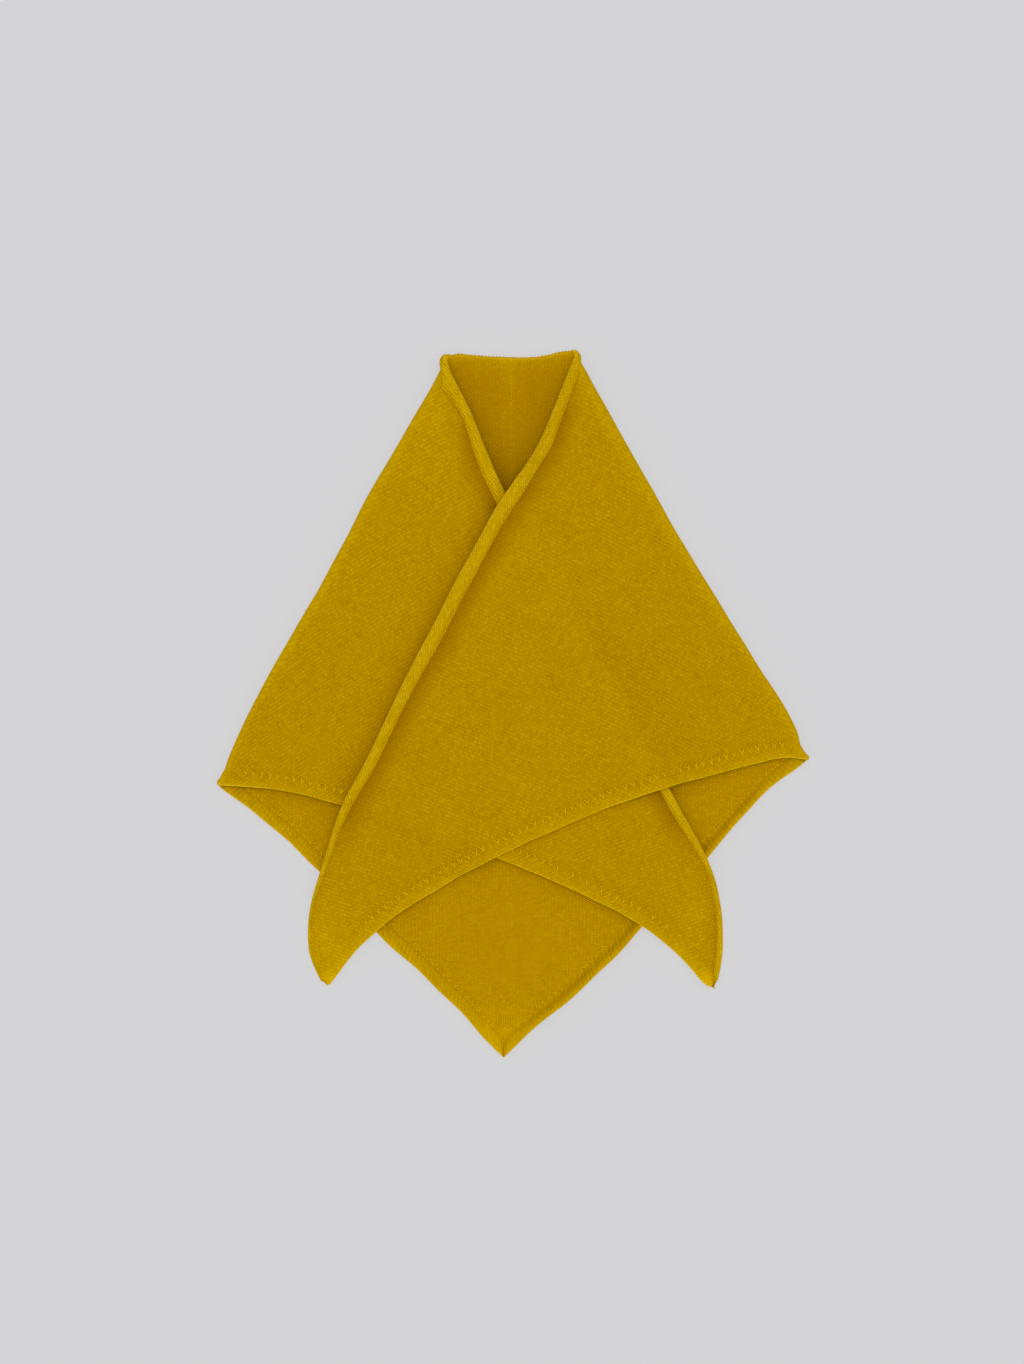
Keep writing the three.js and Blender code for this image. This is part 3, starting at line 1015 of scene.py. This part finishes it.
def outer_painted_light_and_shade(u, plan, from_neck, from_edge):
    """Painted shade on the outer face beside the rolls and under the right wing's roll, painted light
    along its edges, tips, hems and folds, and paler shoulders.
    """
    on_wing = np.maximum(smooth((1.05 - u) / 0.1), smooth((u - 3.95) / 0.1))
    on_tips = np.maximum(smooth((0.2 - u) / 0.1), smooth((u - 4.82) / 0.1))
    at_corners = np.maximum(hump(u - 1, 0.07), hump(u - 4, 0.05))
    # Painted shade beside the roll, but not at the two upper corners, where it runs out into the
    # shoulder.
    size = roll_share(u)
    shift, wider = roll_places.at(u)[..., 0], roll_places.at(u)[..., 1]
    past_roll = from_neck - (shift + roll_width * size + wider)
    beside = smooth(1 - past_roll / beside_roll_reach) * smooth((size - 0.35) / 0.4)
    at_left_corner = smooth((u - 0.9) / 0.08) * (u < 2)
    at_right_corner = 0.7 * smooth((4.07 - u) / 0.06) * (u > 3)
    beside = beside * (1 - np.maximum(at_left_corner, at_right_corner) * on_wing)
    on_left_fold = between(u, 0.97, 2.03, 0.08) * hump(u - 1.4, 0.4)
    on_right_fold = between(u, 2.97, 4.03, 0.08) * hump(u - 3.6, 0.4)
    shoulders_and_roll_shade = placed(plan, shoulder_places) + beside_roll_shade_tone * beside
    tone = placed(plan, tip_light_places) + on_wing * shoulders_and_roll_shade
    tone = tone + fading(from_edge, edge_tone) + fading(from_edge, edge_fluff_and_light_tone)
    tone = tone + turned_hem_light_tone * smooth(1 - from_edge / turned_hem_reach)
    tone = tone + on_tips * fading(from_edge, tip_rim_tone)
    tone = tone + at_corners * fading(from_edge, corner_rim_tone)
    tone = tone + left_fold_light_tone * on_left_fold + right_fold_light_tone * on_right_fold
    # A painted shadow on the left wing beside the right wing's roll, then painted light and shade where
    # the right wing drapes over the left one.
    tone = tone + fading(to_right_roll(plan), contact_shadow_tone) * smooth((1.02 - u) / 0.04)
    return tone + painted_drape_shading(plan) * smooth((u - 4) / 0.05)


def inner_painted_light_and_shade(u, plan, from_neck, from_edge):
    """Painted light on the inner face at the neck edge and along its hem, painted shade inside the V,
    painted light and shade at given places, and a painted highlight along a faint crease down it.
    """
    in_v = smooth((plan[..., 1] - 60) / 40)
    painted_crease = 0.14 * hump(plan[..., 0] + 1, 1.1) + 0.15 * hump(plan[..., 0] + 3, 7) * in_v
    past_edge = np.maximum(from_neck - cloth_start - roll_places.at(u)[..., 0], 0)
    rims = fading(past_edge, neck_tone) + fading(past_edge, neck_fluff_and_light_tone)
    rims = rims + fading(from_edge, inner_edge_tone)
    return v_shade_tone * in_v + painted_crease + placed(plan, inner_light_and_shade_places) + rims


# Heights of the rows that close the turned edge, in half walls.
rim_heights = (0.55, 0.0, -0.8)
# The hem's edge is rounded over its last stretch, and the cloth thins at the neck edge, in mm.
edge_round = 1.2
edge_start = 0.15
neck_thin = 0.45
neck_thin_reach = 0.8


def knitted_panel():
    u = stations(112, 14, 104)
    ribs = np.concatenate(
        [
            np.array([0, 0.004, 0.01, 0.018]),
            np.linspace(0.03, 0.9, 88),
            np.linspace(0.907, 0.993, 22),
            np.array([0.996, 0.9985, 1.0]),
        ]
    )
    width_neck = across_rib(u, 0.0)
    width_hem = across_rib(u, 1.0)
    start = np.clip((cloth_start + roll_places.at(u)[..., 0]) / width_neck, -0.5, 0.3)
    v = mix(start[:, None], 1.0, ribs[None, :])
    uu = np.broadcast_to(u[:, None], v.shape)
    at, normal, inward = cloth_frame(uu, v)
    from_neck = v * width_neck[:, None]
    from_edge = (1 - v) * width_hem[:, None]
    plan = at[..., :2]
    outer_pale = outer_painted_light_and_shade(uu, plan, from_neck, from_edge)
    inner_pale = inner_painted_light_and_shade(uu, plan, from_neck, from_edge)
    at = moved_edge(at, inward, uu, from_edge)
    puff = half_wall + hem_swell(from_edge)
    rounded = np.sqrt(np.clip(edge_start + from_edge / cloth_wall, 0, 1))
    puff = np.where(from_edge < edge_round, half_wall * rounded, puff)
    under = half_wall * mix(neck_thin, 1.0, smooth(from_neck / neck_thin_reach))
    outer = at + normal * puff[..., None]
    inner = at - normal * under[..., None]
    flat = cloth_flat(uu, v) / (wale, course)
    # The turned edge is closed by its rim, and the neck edge by one more row.
    heights = np.array(rim_heights)[None, :, None]
    rim = at[:, -1:] + normal[:, -1:] * heights * half_wall
    step = (flat[:, -1] - flat[:, -3]) / np.maximum(from_edge[:, -3], 1e-6)[:, None]
    rim_flat = flat[:, -1:] + step[:, None] * (np.abs(heights) * 0.6)
    closing = inner[:, :1] * 0.5 + outer[:, :1] * 0.5
    # The back's rim gets painted light with its pale fluff.
    rim_pale = outer_pale[:, -1:] + back_fluff_and_light_tone * between(u, 1.98, 3.02, 0.04)[:, None]
    rim_pale = np.repeat(rim_pale, len(rim_heights), axis=1)
    keep = slice(0, -1)
    points = np.concatenate([outer[:, keep], rim, inner[:, keep][:, ::-1], closing], axis=1)
    grid = np.concatenate([flat[:, keep], rim_flat, flat[:, keep][:, ::-1], flat[:, :1]], axis=1)
    pale = [outer_pale[:, keep], rim_pale, inner_pale[:, keep][:, ::-1], inner_pale[:, :1]]
    pale = np.concatenate(pale, axis=1)
    inside = np.zeros(points.shape[:2])
    inside[:, outer.shape[1] + 1 :] = 1
    return cloth_sweep("knitted_panel_cloth", points, grid, inside, pale, jersey)


def smooth_ring(ring):
    """Cuts the corners of a closed section."""
    after = np.roll(ring, -1, axis=1)
    cut = np.stack([ring * 0.75 + after * 0.25, ring * 0.25 + after * 0.75], axis=2)
    return cut.reshape(ring.shape[0], -1, ring.shape[2])


# Section of the roll: inward as a share of its width, height as a share of its whole height.
roll_over = [
    (0.03, -0.05),
    (-0.03, 0.12),
    (-0.04, 0.4),
    (0.04, 0.78),
    (0.2, 0.95),
    (0.43, 1.0),
    (0.68, 0.9),
    (0.88, 0.64),
    (0.98, 0.4),
    (0.97, 0.22),
]
# Its underside: inward as a share of its width, then mm past the cloth's edge, and height in mm.
roll_under = [
    (0.9, 0.0, half_wall + roll_gap),
    (0.7, 0.0, half_wall + roll_gap),
    (0.5, 0.0, half_wall + roll_gap),
    (0.3, 0.0, half_wall + roll_gap),
    (0.0, cloth_start - 0.05, half_wall + roll_gap),
    (0.0, cloth_start - 0.08, 0.2),
]

# How much paler each part of the section is, for its top and for its underside: painted light on the
# side towards the neck and at the underside's edge, and painted shade on the outer side.
roll_over_tones = [0.9, 0.9, 0.7, 0.2, 0.0, 0.0, 0.0, -0.1, -0.2, -0.2]
roll_under_tones = [0.0, 0.0, 0.0, 0.0, 0.5, 0.9]
# How much paler still where the roll lies on the outline: painted light on the face that stands on the
# outline.
roll_rim_tones = [1.3, 1.3, 0.9, 0.35, 0.1, 0.0, 0.0, 0.0, 0.0, 0.0]

# How much lower the roll is where each side fold pinches it, and how much it slopes inward there.
left_pinch = 0.17
right_pinch = 0.4
fold_slope = 0.8
# Its slow swelling and tightening: a share of its size, the reach in mm, and the start.
roll_swells = ((0.05, 11.0, 1.0), (0.04, 23.0, 2.0))
# Its strokes, first on the left wing and then on the right: how far they lean, in strokes for each
# mm round the roll, and mm along it from one to the next.
stroke_leans = (-0.55, -0.3)
stroke_pitches = (4.4, 2.3)


def fold_shares(u):
    """1 at the side folds and 0 away from them, for the left and for the right."""
    left = smooth((u - 0.99) / 0.25) * smooth((2.1 - u) / 0.25)
    right = smooth((u - 2.9) / 0.25) * smooth((4.01 - u) / 0.25)
    return left, right


def roll_sizes(u):
    """The roll's start and width along the cloth, and its height over the cloth's middle."""
    size = roll_share(u)
    per_width = 1 / across_rib(u, 0.0)
    shift, wider = roll_places.at(u)[..., 0], roll_places.at(u)[..., 1]
    reach = np.minimum(roll_width * size + wider, 0.45 / per_width)
    left, right = fold_shares(u)
    pinch = 1 - left_pinch * left - right_pinch * right
    height = half_wall + roll_height * np.minimum(0.35 + 0.65 * size, 1.3 * size) * pinch
    return per_width, shift, reach, height


def left_to_right(pair, u):
    """Goes from the left wing's value to the right wing's, over the back."""
    return mix(*pair, smooth((u - 1.6) / 1.8))


def neck_roll():
    u = stations(250, 14, 90)
    per_width, shift, reach, height = roll_sizes(u)
    left, right = fold_shares(u)
    slope = fold_slope * np.maximum(left, right)
    edge = cloth_point(u, np.zeros_like(u))
    run = np.concatenate([[0], np.cumsum(np.linalg.norm(np.diff(edge, axis=0), axis=1))])
    swell = sum((size * np.sin(run / length + start) for size, length, start in roll_swells), 1.0)
    # It widens half as much as it rises.
    reach = reach * (1 + 0.5 * (swell - 1))
    height = height * swell

    def on_cloth(inward, rise):
        v = np.maximum(inward * per_width, -0.5)
        at, normal, towards = cloth_frame(u, v)
        past = inward - v / per_width
        return at + towards * past[:, None] + normal * np.broadcast_to(rise, u.shape)[:, None]

    over = [
        on_cloth(shift + share * reach, up * height * (1 - slope * smooth((share - 0.3) / 0.7)))
        for share, up in roll_over
    ]
    under = [on_cloth(shift + share * reach + past, rise) for share, past, rise in roll_under]
    ring = smooth_ring(np.stack(over + under, axis=1))
    ring[..., 2] = np.maximum(ring[..., 2], lowest)
    around = np.cumsum(np.linalg.norm(np.diff(ring, axis=1), axis=2), axis=1)
    around = np.concatenate([np.zeros((len(u), 1)), around], axis=1)
    strokes_run = np.cumsum(np.diff(run) / left_to_right(stroke_pitches, u[1:]))
    strokes_run = np.concatenate([[0], strokes_run])
    stroke = strokes_run[:, None] + left_to_right(stroke_leans, u)[:, None] * around
    grid = np.stack([stroke, around / course], axis=-1)
    # Painted light and shade round the roll's section, with more painted light where it lies on the
    # outline.
    side_tones = np.array(roll_over_tones + roll_under_tones)[None, :, None]
    on_tips = np.maximum(smooth((0.1 - u) / 0.08), smooth((u - 4.86) / 0.04))
    on_outline = np.maximum(between(u, 2.02, 2.98, 0.05), on_tips)
    rim_tones = np.array(roll_rim_tones + roll_under_tones)[None, :, None]
    pale = smooth_ring(side_tones)[..., 0] + on_outline[:, None] * smooth_ring(rim_tones)[..., 0]
    return cloth_sweep("neck_roll_cloth", ring, grid, np.ones(ring.shape[:2]), pale, rolled)


# Sections of the hems: share of the depth from the edge, height above the panel's inner face.
flat_hem = [
    (0.0, 0.1),
    (0.0, 0.5),
    (0.04, 0.85),
    (0.12, 1.0),
    (0.28, 0.95),
    (0.5, 0.85),
    (0.68, 0.7),
    (0.8, 0.5),
    (0.87, 0.36),
    (0.93, 0.2),
    (0.97, 0.1),
    (1.0, 0.02),
]
curled_hem = [
    (0.0, 0.2),
    (-0.01, 0.9),
    (0.05, 1.7),
    (0.17, 2.2),
    (0.32, 2.1),
    (0.46, 1.5),
    (0.56, 0.75),
    (0.67, 0.45),
    (0.8, 0.4),
    (0.9, 0.2),
    (0.96, 0.1),
    (1.0, 0.02),
]


def hem_painted_light_and_shade(from_edge, curl):
    """Painted light along a turned hem, most at its edge, where it is partly its pale fluff, and
    painted shade in its groove.
    """
    groove = mix(7.2, 5.0, curl)
    groove_shade = mix(0.35, 0.5, curl) * hump(from_edge - groove, mix(0.9, 1.3, curl))
    return 0.22 + fading(from_edge, hem_edge_tone) + fading(from_edge, hem_fluff_and_light_tone) - groove_shade


def hem_strip(name, first, last):
    every = stations(112, 14, 104)
    u = np.concatenate([[first], every[(every > first + 0.004) & (every < last - 0.004)], [last]])
    width = across_rib(u, 1.0)
    depth = np.minimum(hem_depth, 0.5 * width)
    curl = right_curl(u)

    def on_cloth(from_edge, rise):
        v = 1 - from_edge / width
        at, normal, inward = cloth_frame(u, v)
        at = moved_edge(at, inward, u, from_edge)
        flat = 2 * cloth_flat(u, np.ones_like(u)) - cloth_flat(u, v)
        return at - normal * (half_wall + hem_gap + rise)[:, None], flat / (wale, course)

    top, top_grid, under, under_grid, pale = [], [], [], [], []
    for (share, rise), (curl_share, curl_rise) in zip(flat_hem, curled_hem):
        from_edge = np.maximum(mix(share, curl_share, curl) * depth, 0.0)
        point, grid = on_cloth(from_edge, mix(rise, curl_rise, curl))
        top.append(point)
        top_grid.append(grid)
        below, grid = on_cloth(from_edge, 0 * u)
        under.append(below)
        under_grid.append(grid)
        # Painted light on the hems at the lower point.
        pale.append(hem_painted_light_and_shade(from_edge, curl) + 0.45 * hump(u - 2.5, 0.04))
    ring = np.stack(top + under[::-1], axis=1)
    grid = np.stack(top_grid + under_grid[::-1], axis=1)
    pale = np.stack(pale + pale[::-1], axis=1)
    # The wales run together where the two hems meet at the lower point.
    blurred = np.repeat(0.7 * hump(u - 2.5, 0.07)[:, None], ring.shape[1], axis=1)
    return cloth_sweep(name, ring, grid, blurred, pale, jersey)


panel = knitted_panel()
roll = neck_roll()
hem_left = hem_strip("left_hem_cloth", first=0.06, last=2.4998)
hem_right = hem_strip("right_hem_cloth", first=2.5002, last=4.94)


# Stitches, set out along the cloth by a node tree. Each is a thread of few sides and steps.
thread_sides = 5
thread_steps = 3
thread_rise = 0.35
# Each kind: mm long, the thread's radius in mm, how much its stitches differ in size, and a seed.
loop_yarn = {"length": 1.6, "radius": 0.26, "spread": 0.14, "seed": 3}
knot_yarn = {"length": 1.5, "radius": 0.36, "spread": 0.15, "seed": 8}
tick_yarn = {"length": 3.0, "radius": 0.48, "spread": 0.2, "seed": 4}
zigzag_yarn = {"length": 1.6, "radius": 0.36, "spread": 0.2, "seed": 6}
gather_yarn = {"length": 7.0, "radius": 0.3, "spread": 0.25, "seed": 9}
# Loops and knots come one to each wale, and these ones further apart, in mm.
tick_pitch = 4.8
zigzag_pitch = 2.2
# The two prongs of a tick: how far each leans, mm along the hem and mm past its row.
tick_prongs = ((0.35, -0.35, 0.0), (-0.5, 0.55, 0.5))
zigzag_past_hem = 1.0
zigzag_swing = 0.55
# The gathers' places across the lower point, and how far down they lie.
gather_places = np.linspace(-4.6, 3.2, 7)
gather_y = -186.5
gather_jitter = 1.5


def bent_thread(tree, source):
    """A short bent thread, lying along X and rising to Z in its middle."""
    nodes, links = tree.nodes, tree.links
    arc = nodes.new("GeometryNodeCurveQuadraticBezier")
    arc.inputs["Resolution"].default_value = thread_steps
    half = math_node(tree, "MULTIPLY", source.outputs["Length"], 0.5)
    rise = math_node(tree, "MULTIPLY", source.outputs["Length"], thread_rise)
    back = math_node(tree, "MULTIPLY", half, -1.0)
    for socket, x, z in (("Start", back, None), ("Middle", None, rise), ("End", half, None)):
        point = nodes.new("ShaderNodeCombineXYZ")
        if x is not None:
            links.new(x, point.inputs[0])
        if z is not None:
            links.new(z, point.inputs[2])
        links.new(point.outputs[0], arc.inputs[socket])
    outline = nodes.new("GeometryNodeCurvePrimitiveCircle")
    outline.inputs["Resolution"].default_value = thread_sides
    links.new(source.outputs["Radius"], outline.inputs["Radius"])
    body = nodes.new("GeometryNodeCurveToMesh")
    body.inputs["Fill Caps"].default_value = True
    links.new(arc.outputs[0], body.inputs["Curve"])
    links.new(outline.outputs[0], body.inputs["Profile Curve"])
    return body.outputs[0]


def stitch_tree():
    """A tree that sets one small stitch on every point, turned by its "along" and "up" directions."""
    tree = bpy.data.node_groups.new("single_stitches", "GeometryNodeTree")
    tree.interface.new_socket("Geometry", in_out="INPUT", socket_type="NodeSocketGeometry")
    for label, value in (("Length", 0.002), ("Radius", 0.0003), ("Size spread", 0.12)):
        socket = tree.interface.new_socket(label, in_out="INPUT", socket_type="NodeSocketFloat")
        socket.default_value = value
    tree.interface.new_socket("Seed", in_out="INPUT", socket_type="NodeSocketInt")
    tree.interface.new_socket("Geometry", in_out="OUTPUT", socket_type="NodeSocketGeometry")
    nodes, links = tree.nodes, tree.links
    source = nodes.new("NodeGroupInput")
    result = nodes.new("NodeGroupOutput")
    points = nodes.new("GeometryNodeMeshToPoints")
    links.new(source.outputs["Geometry"], points.inputs["Mesh"])
    turned = nodes.new("FunctionNodeAxesToRotation")
    turned.primary_axis = "Z"
    turned.secondary_axis = "X"
    for label, socket in (("up", "Primary Axis"), ("along", "Secondary Axis")):
        direction = nodes.new("GeometryNodeInputNamedAttribute")
        direction.data_type = "FLOAT_VECTOR"
        direction.inputs["Name"].default_value = label
        links.new(direction.outputs["Attribute"], turned.inputs[socket])
    spread = nodes.new("FunctionNodeRandomValue")
    spread.data_type = "FLOAT"
    links.new(math_node(tree, "SUBTRACT", 1.0, source.outputs["Size spread"]), spread.inputs[2])
    links.new(math_node(tree, "ADD", 1.0, source.outputs["Size spread"]), spread.inputs[3])
    links.new(source.outputs["Seed"], spread.inputs["Seed"])
    placed = nodes.new("GeometryNodeInstanceOnPoints")
    links.new(points.outputs[0], placed.inputs["Points"])
    links.new(bent_thread(tree, source), placed.inputs["Instance"])
    links.new(turned.outputs[0], placed.inputs["Rotation"])
    links.new(spread.outputs[1], placed.inputs["Scale"])
    solid = nodes.new("GeometryNodeRealizeInstances")
    painted = nodes.new("GeometryNodeSetMaterial")
    painted.inputs["Material"].default_value = thread
    links.new(placed.outputs[0], solid.inputs[0])
    links.new(solid.outputs[0], painted.inputs["Geometry"])
    links.new(painted.outputs[0], result.inputs[0])
    return tree


def stitch_piece(name, at, along, up, length, radius, spread, seed):
    at, up = at.copy(), unit(up)
    # A stitch under the cloth is pressed against it, so nothing hangs below the surface it lies on.
    up = np.where(up[:, 2:] < -0.3, -up, up)
    reach = radius + 0.5 * length * np.abs(unit(along)[:, 2])
    at[:, 2] = np.maximum(at[:, 2], lowest + reach * (1 + spread))
    mesh = bpy.data.meshes.new(name + "_points")
    mesh.from_pydata((at * MM).tolist(), [], [])
    for label, values in (("along", along), ("up", up)):
        layer = mesh.attributes.new(label, "FLOAT_VECTOR", "POINT")
        layer.data.foreach_set("vector", unit(values).astype(np.float32).ravel())
    points = link(name + "_points", mesh)
    modifier = points.modifiers.new("stitches", "NODES")
    modifier.node_group = stitches
    wanted = {"Length": length * MM, "Radius": radius * MM, "Size spread": spread, "Seed": seed}
    for item in stitches.interface.items_tree:
        if item.item_type == "SOCKET" and item.in_out == "INPUT" and item.name in wanted:
            modifier[item.identifier] = wanted[item.name]
    bpy.context.view_layer.update()
    seen = points.evaluated_get(bpy.context.evaluated_depsgraph_get())
    made = bpy.data.meshes.new_from_object(seen)
    made.name = name
    bpy.data.objects.remove(points)
    made.shade_smooth()
    return link(name, made)


fine_steps = 6000


def evenly(u_from, u_to, pitch, v_of):
    """Shares along the cloth, one stitch pitch apart, for a row at v_of(u)."""
    fine = np.linspace(u_from, u_to, fine_steps)
    where = cloth_point(fine, v_of(fine))
    run = np.concatenate([[0], np.cumsum(np.linalg.norm(np.diff(where, axis=0), axis=1))])
    count = max(2, int(run[-1] / pitch))
    return np.interp(np.linspace(0, run[-1], count + 1)[1:-1], run, fine)


def cloth_directions(u, v):
    at, normal, inward = cloth_frame(u, v)
    return at, normal, inward, unit(along_cloth(u, v, short_step))


stitches = stitch_tree()
stitch_seed = np.random.default_rng(5)


def cast_off_loops():
    """The cast-off edge: one small loop to each wale, along the roll's inner side."""
    u = evenly(0.01, 4.8, wale, lambda x: np.zeros_like(x))
    u = u[(u < 0.98) | ((u > 2.05) & (u < 2.95)) | (u > 4.03)]
    per_width, shift, reach, height = roll_sizes(u)
    at, normal, inward, along = cloth_directions(u, (shift + 0.8 * reach) * per_width)
    at = at + normal * (0.76 * height)[:, None]
    lean = stitch_seed.normal(0, 0.18, len(u))[:, None]
    direction = inward * 0.75 + along * (0.75 + lean)
    return stitch_piece("cast_off_loops", at, direction, normal + inward, **loop_yarn)


def neck_edge_knots():
    """A row of small knots where the cloth turns over into the roll."""
    u = evenly(0.8, 4.2, wale, lambda x: np.zeros_like(x))
    per_width, shift, reach, height = roll_sizes(u)
    at, normal, inward, along = cloth_directions(u, (shift + 0.1) * per_width)
    at = at + normal * 0.1
    lean = stitch_seed.normal(0, 0.15, len(u))[:, None]
    direction = normal * 0.7 + along * (0.8 + lean)
    return stitch_piece("neck_edge_knots", at, direction, -inward, **knot_yarn)


def hem_row_outer():
    """The row that shows on the outer side of the hems: a forked tick every few wales."""
    pieces = []
    for slant, shift, past in tick_prongs:
        u = evenly(0.12, 4.88, tick_pitch, lambda x: 1 - hem_row / across_rib(x, 1.0))
        u = u[(u < 0.98) | ((u > 2.03) & (u < 2.97)) | (u > 4.02)]
        width = across_rib(u, 1.0)
        from_edge = hem_row + past + stitch_seed.normal(0, 0.2, len(u))
        at, normal, inward, along = cloth_directions(u, 1 - from_edge / width)
        at = moved_edge(at, inward, u, from_edge)
        at = at + normal * (half_wall + hem_swell(from_edge) + 0.15)[:, None] + along * shift
        tilt = stitch_seed.normal(0, 0.15, len(u))[:, None]
        pieces.append((at, inward + along * (slant + tilt), normal))
    at, direction, up = (np.concatenate(part) for part in zip(*pieces))
    return stitch_piece("hem_ticks", at, direction, up, **tick_yarn)


def hem_row_inner():
    """The zigzag that holds the hem's raw edge, on the inner side."""
    u = evenly(0.1, 4.9, zigzag_pitch, lambda x: 1 - hem_depth / across_rib(x, 1.0))
    width = across_rib(u, 1.0)
    side = np.where(np.arange(len(u)) % 2 == 0, 1.0, -1.0)
    from_edge = hem_depth + zigzag_past_hem - side * zigzag_swing
    at, normal, inward, along = cloth_directions(u, 1 - from_edge / width)
    at = moved_edge(at, inward, u, from_edge)
    at = at - normal * (half_wall + 0.12)
    direction = along * 0.8 + inward * side[:, None] * 0.9
    return stitch_piece("hem_zigzag", at, direction, -normal, **zigzag_yarn)


def apex_gathers():
    """Short pulled threads where the two hems meet at the lower point."""
    down = stitch_seed.uniform(-gather_jitter, gather_jitter, len(gather_places)) + gather_y
    u = 2.5 + gather_places / 190.0
    at, normal, inward, along = cloth_directions(u, np.full_like(u, 0.96))
    at[:, 0] = apex[0] + gather_places + 1.2
    at[:, 1] = down
    at = at - normal * (half_wall + 0.72)
    direction = np.tile(np.array((0.05, 1.0, 0.0)), (len(u), 1))
    return stitch_piece("apex_gathers", at, direction, -normal, **gather_yarn)


loops = cast_off_loops()
knots = neck_edge_knots()
ticks = hem_row_outer()
zigzag = hem_row_inner()
gathers = apex_gathers()

for piece, slot in (
    (panel, "knit"),
    (roll, "rolled_edge"),
    (hem_left, "hem"),
    (hem_right, "hem"),
    (loops, "rolled_edge"),
    (knots, "rolled_edge"),
    (ticks, "hem"),
    (zigzag, "hem"),
    (gathers, "hem"),
):
    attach(piece, "root")
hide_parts("knitted_panel")
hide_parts("neck_roll")
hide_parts("left_hem")
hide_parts("right_hem")


# Floor, light and camera, in metres but for the sensor's mm. The camera looks straight down.
floor_corners = ((-1, -1), (1, -1), (1, 1), (-1, 1))
floor_reach = 4.0
floor_drop = 0.0004
floor_colour = (0.2, 0.2, 0.2)
floor_glow = (0.4815, 0.4815, 0.4955)
sky_strength = 0.62
lamp_place = (0.0, 0.25, 2.6)
lamp_size = 1.6
lamp_power = 22.0
camera_x = -0.0005
camera_y = 0.0127
camera_height = 3.0
cloth_level = 0.008
sensor = 36.0
photo_height = 1364
mm_per_pixel = 0.587


def plain(name, colour, glow):
    material = bpy.data.materials.new(name)
    material.use_nodes = True
    surface = material.node_tree.nodes["Principled BSDF"]
    surface.inputs["Base Color"].default_value = (*colour, 1)
    surface.inputs["Roughness"].default_value = 1.0
    surface.inputs["Specular IOR Level"].default_value = 0.0
    surface.inputs["Emission Color"].default_value = (*glow, 1)
    surface.inputs["Emission Strength"].default_value = 1.0
    return material


def floor_plane():
    mesh = bpy.data.meshes.new("floor")
    corners = [(x * floor_reach, y * floor_reach, -floor_drop) for x, y in floor_corners]
    mesh.from_pydata(corners, [], [(0, 1, 2, 3)])
    mesh.materials.append(plain("pale_floor", floor_colour, floor_glow))
    return link("floor", mesh)


floor = floor_plane()

world = bpy.data.worlds.new("soft_studio")
world.use_nodes = True
sky = world.node_tree.nodes["Background"]
sky.inputs["Color"].default_value = (1, 1, 1, 1)
sky.inputs["Strength"].default_value = sky_strength
bpy.context.scene.world = world


def soft_light(name, place, size, power):
    lamp = bpy.data.lights.new(name, "AREA")
    lamp.shape = "DISK"
    lamp.size = size
    lamp.energy = power
    holder = bpy.data.objects.new(name, lamp)
    holder.location = place
    bpy.context.scene.collection.objects.link(holder)
    towards = -np.array(place)
    holder.rotation_euler = (
        math.atan2(math.hypot(towards[0], towards[1]), -towards[2]),
        0,
        math.atan2(towards[1], towards[0]) - math.pi / 2 + math.pi,
    )
    return holder


soft_light("overhead", lamp_place, lamp_size, lamp_power)

camera = bpy.data.cameras.new("camera")
camera.sensor_width = sensor
seen_height = photo_height * mm_per_pixel * MM
camera.lens = sensor * (camera_height - cloth_level) / seen_height
camera.clip_end = 50
holder = bpy.data.objects.new("camera", camera)
holder.location = (camera_x, camera_y, camera_height)
bpy.context.scene.collection.objects.link(holder)
bpy.context.scene.camera = holder
bpy.context.scene.view_settings.view_transform = "Standard"
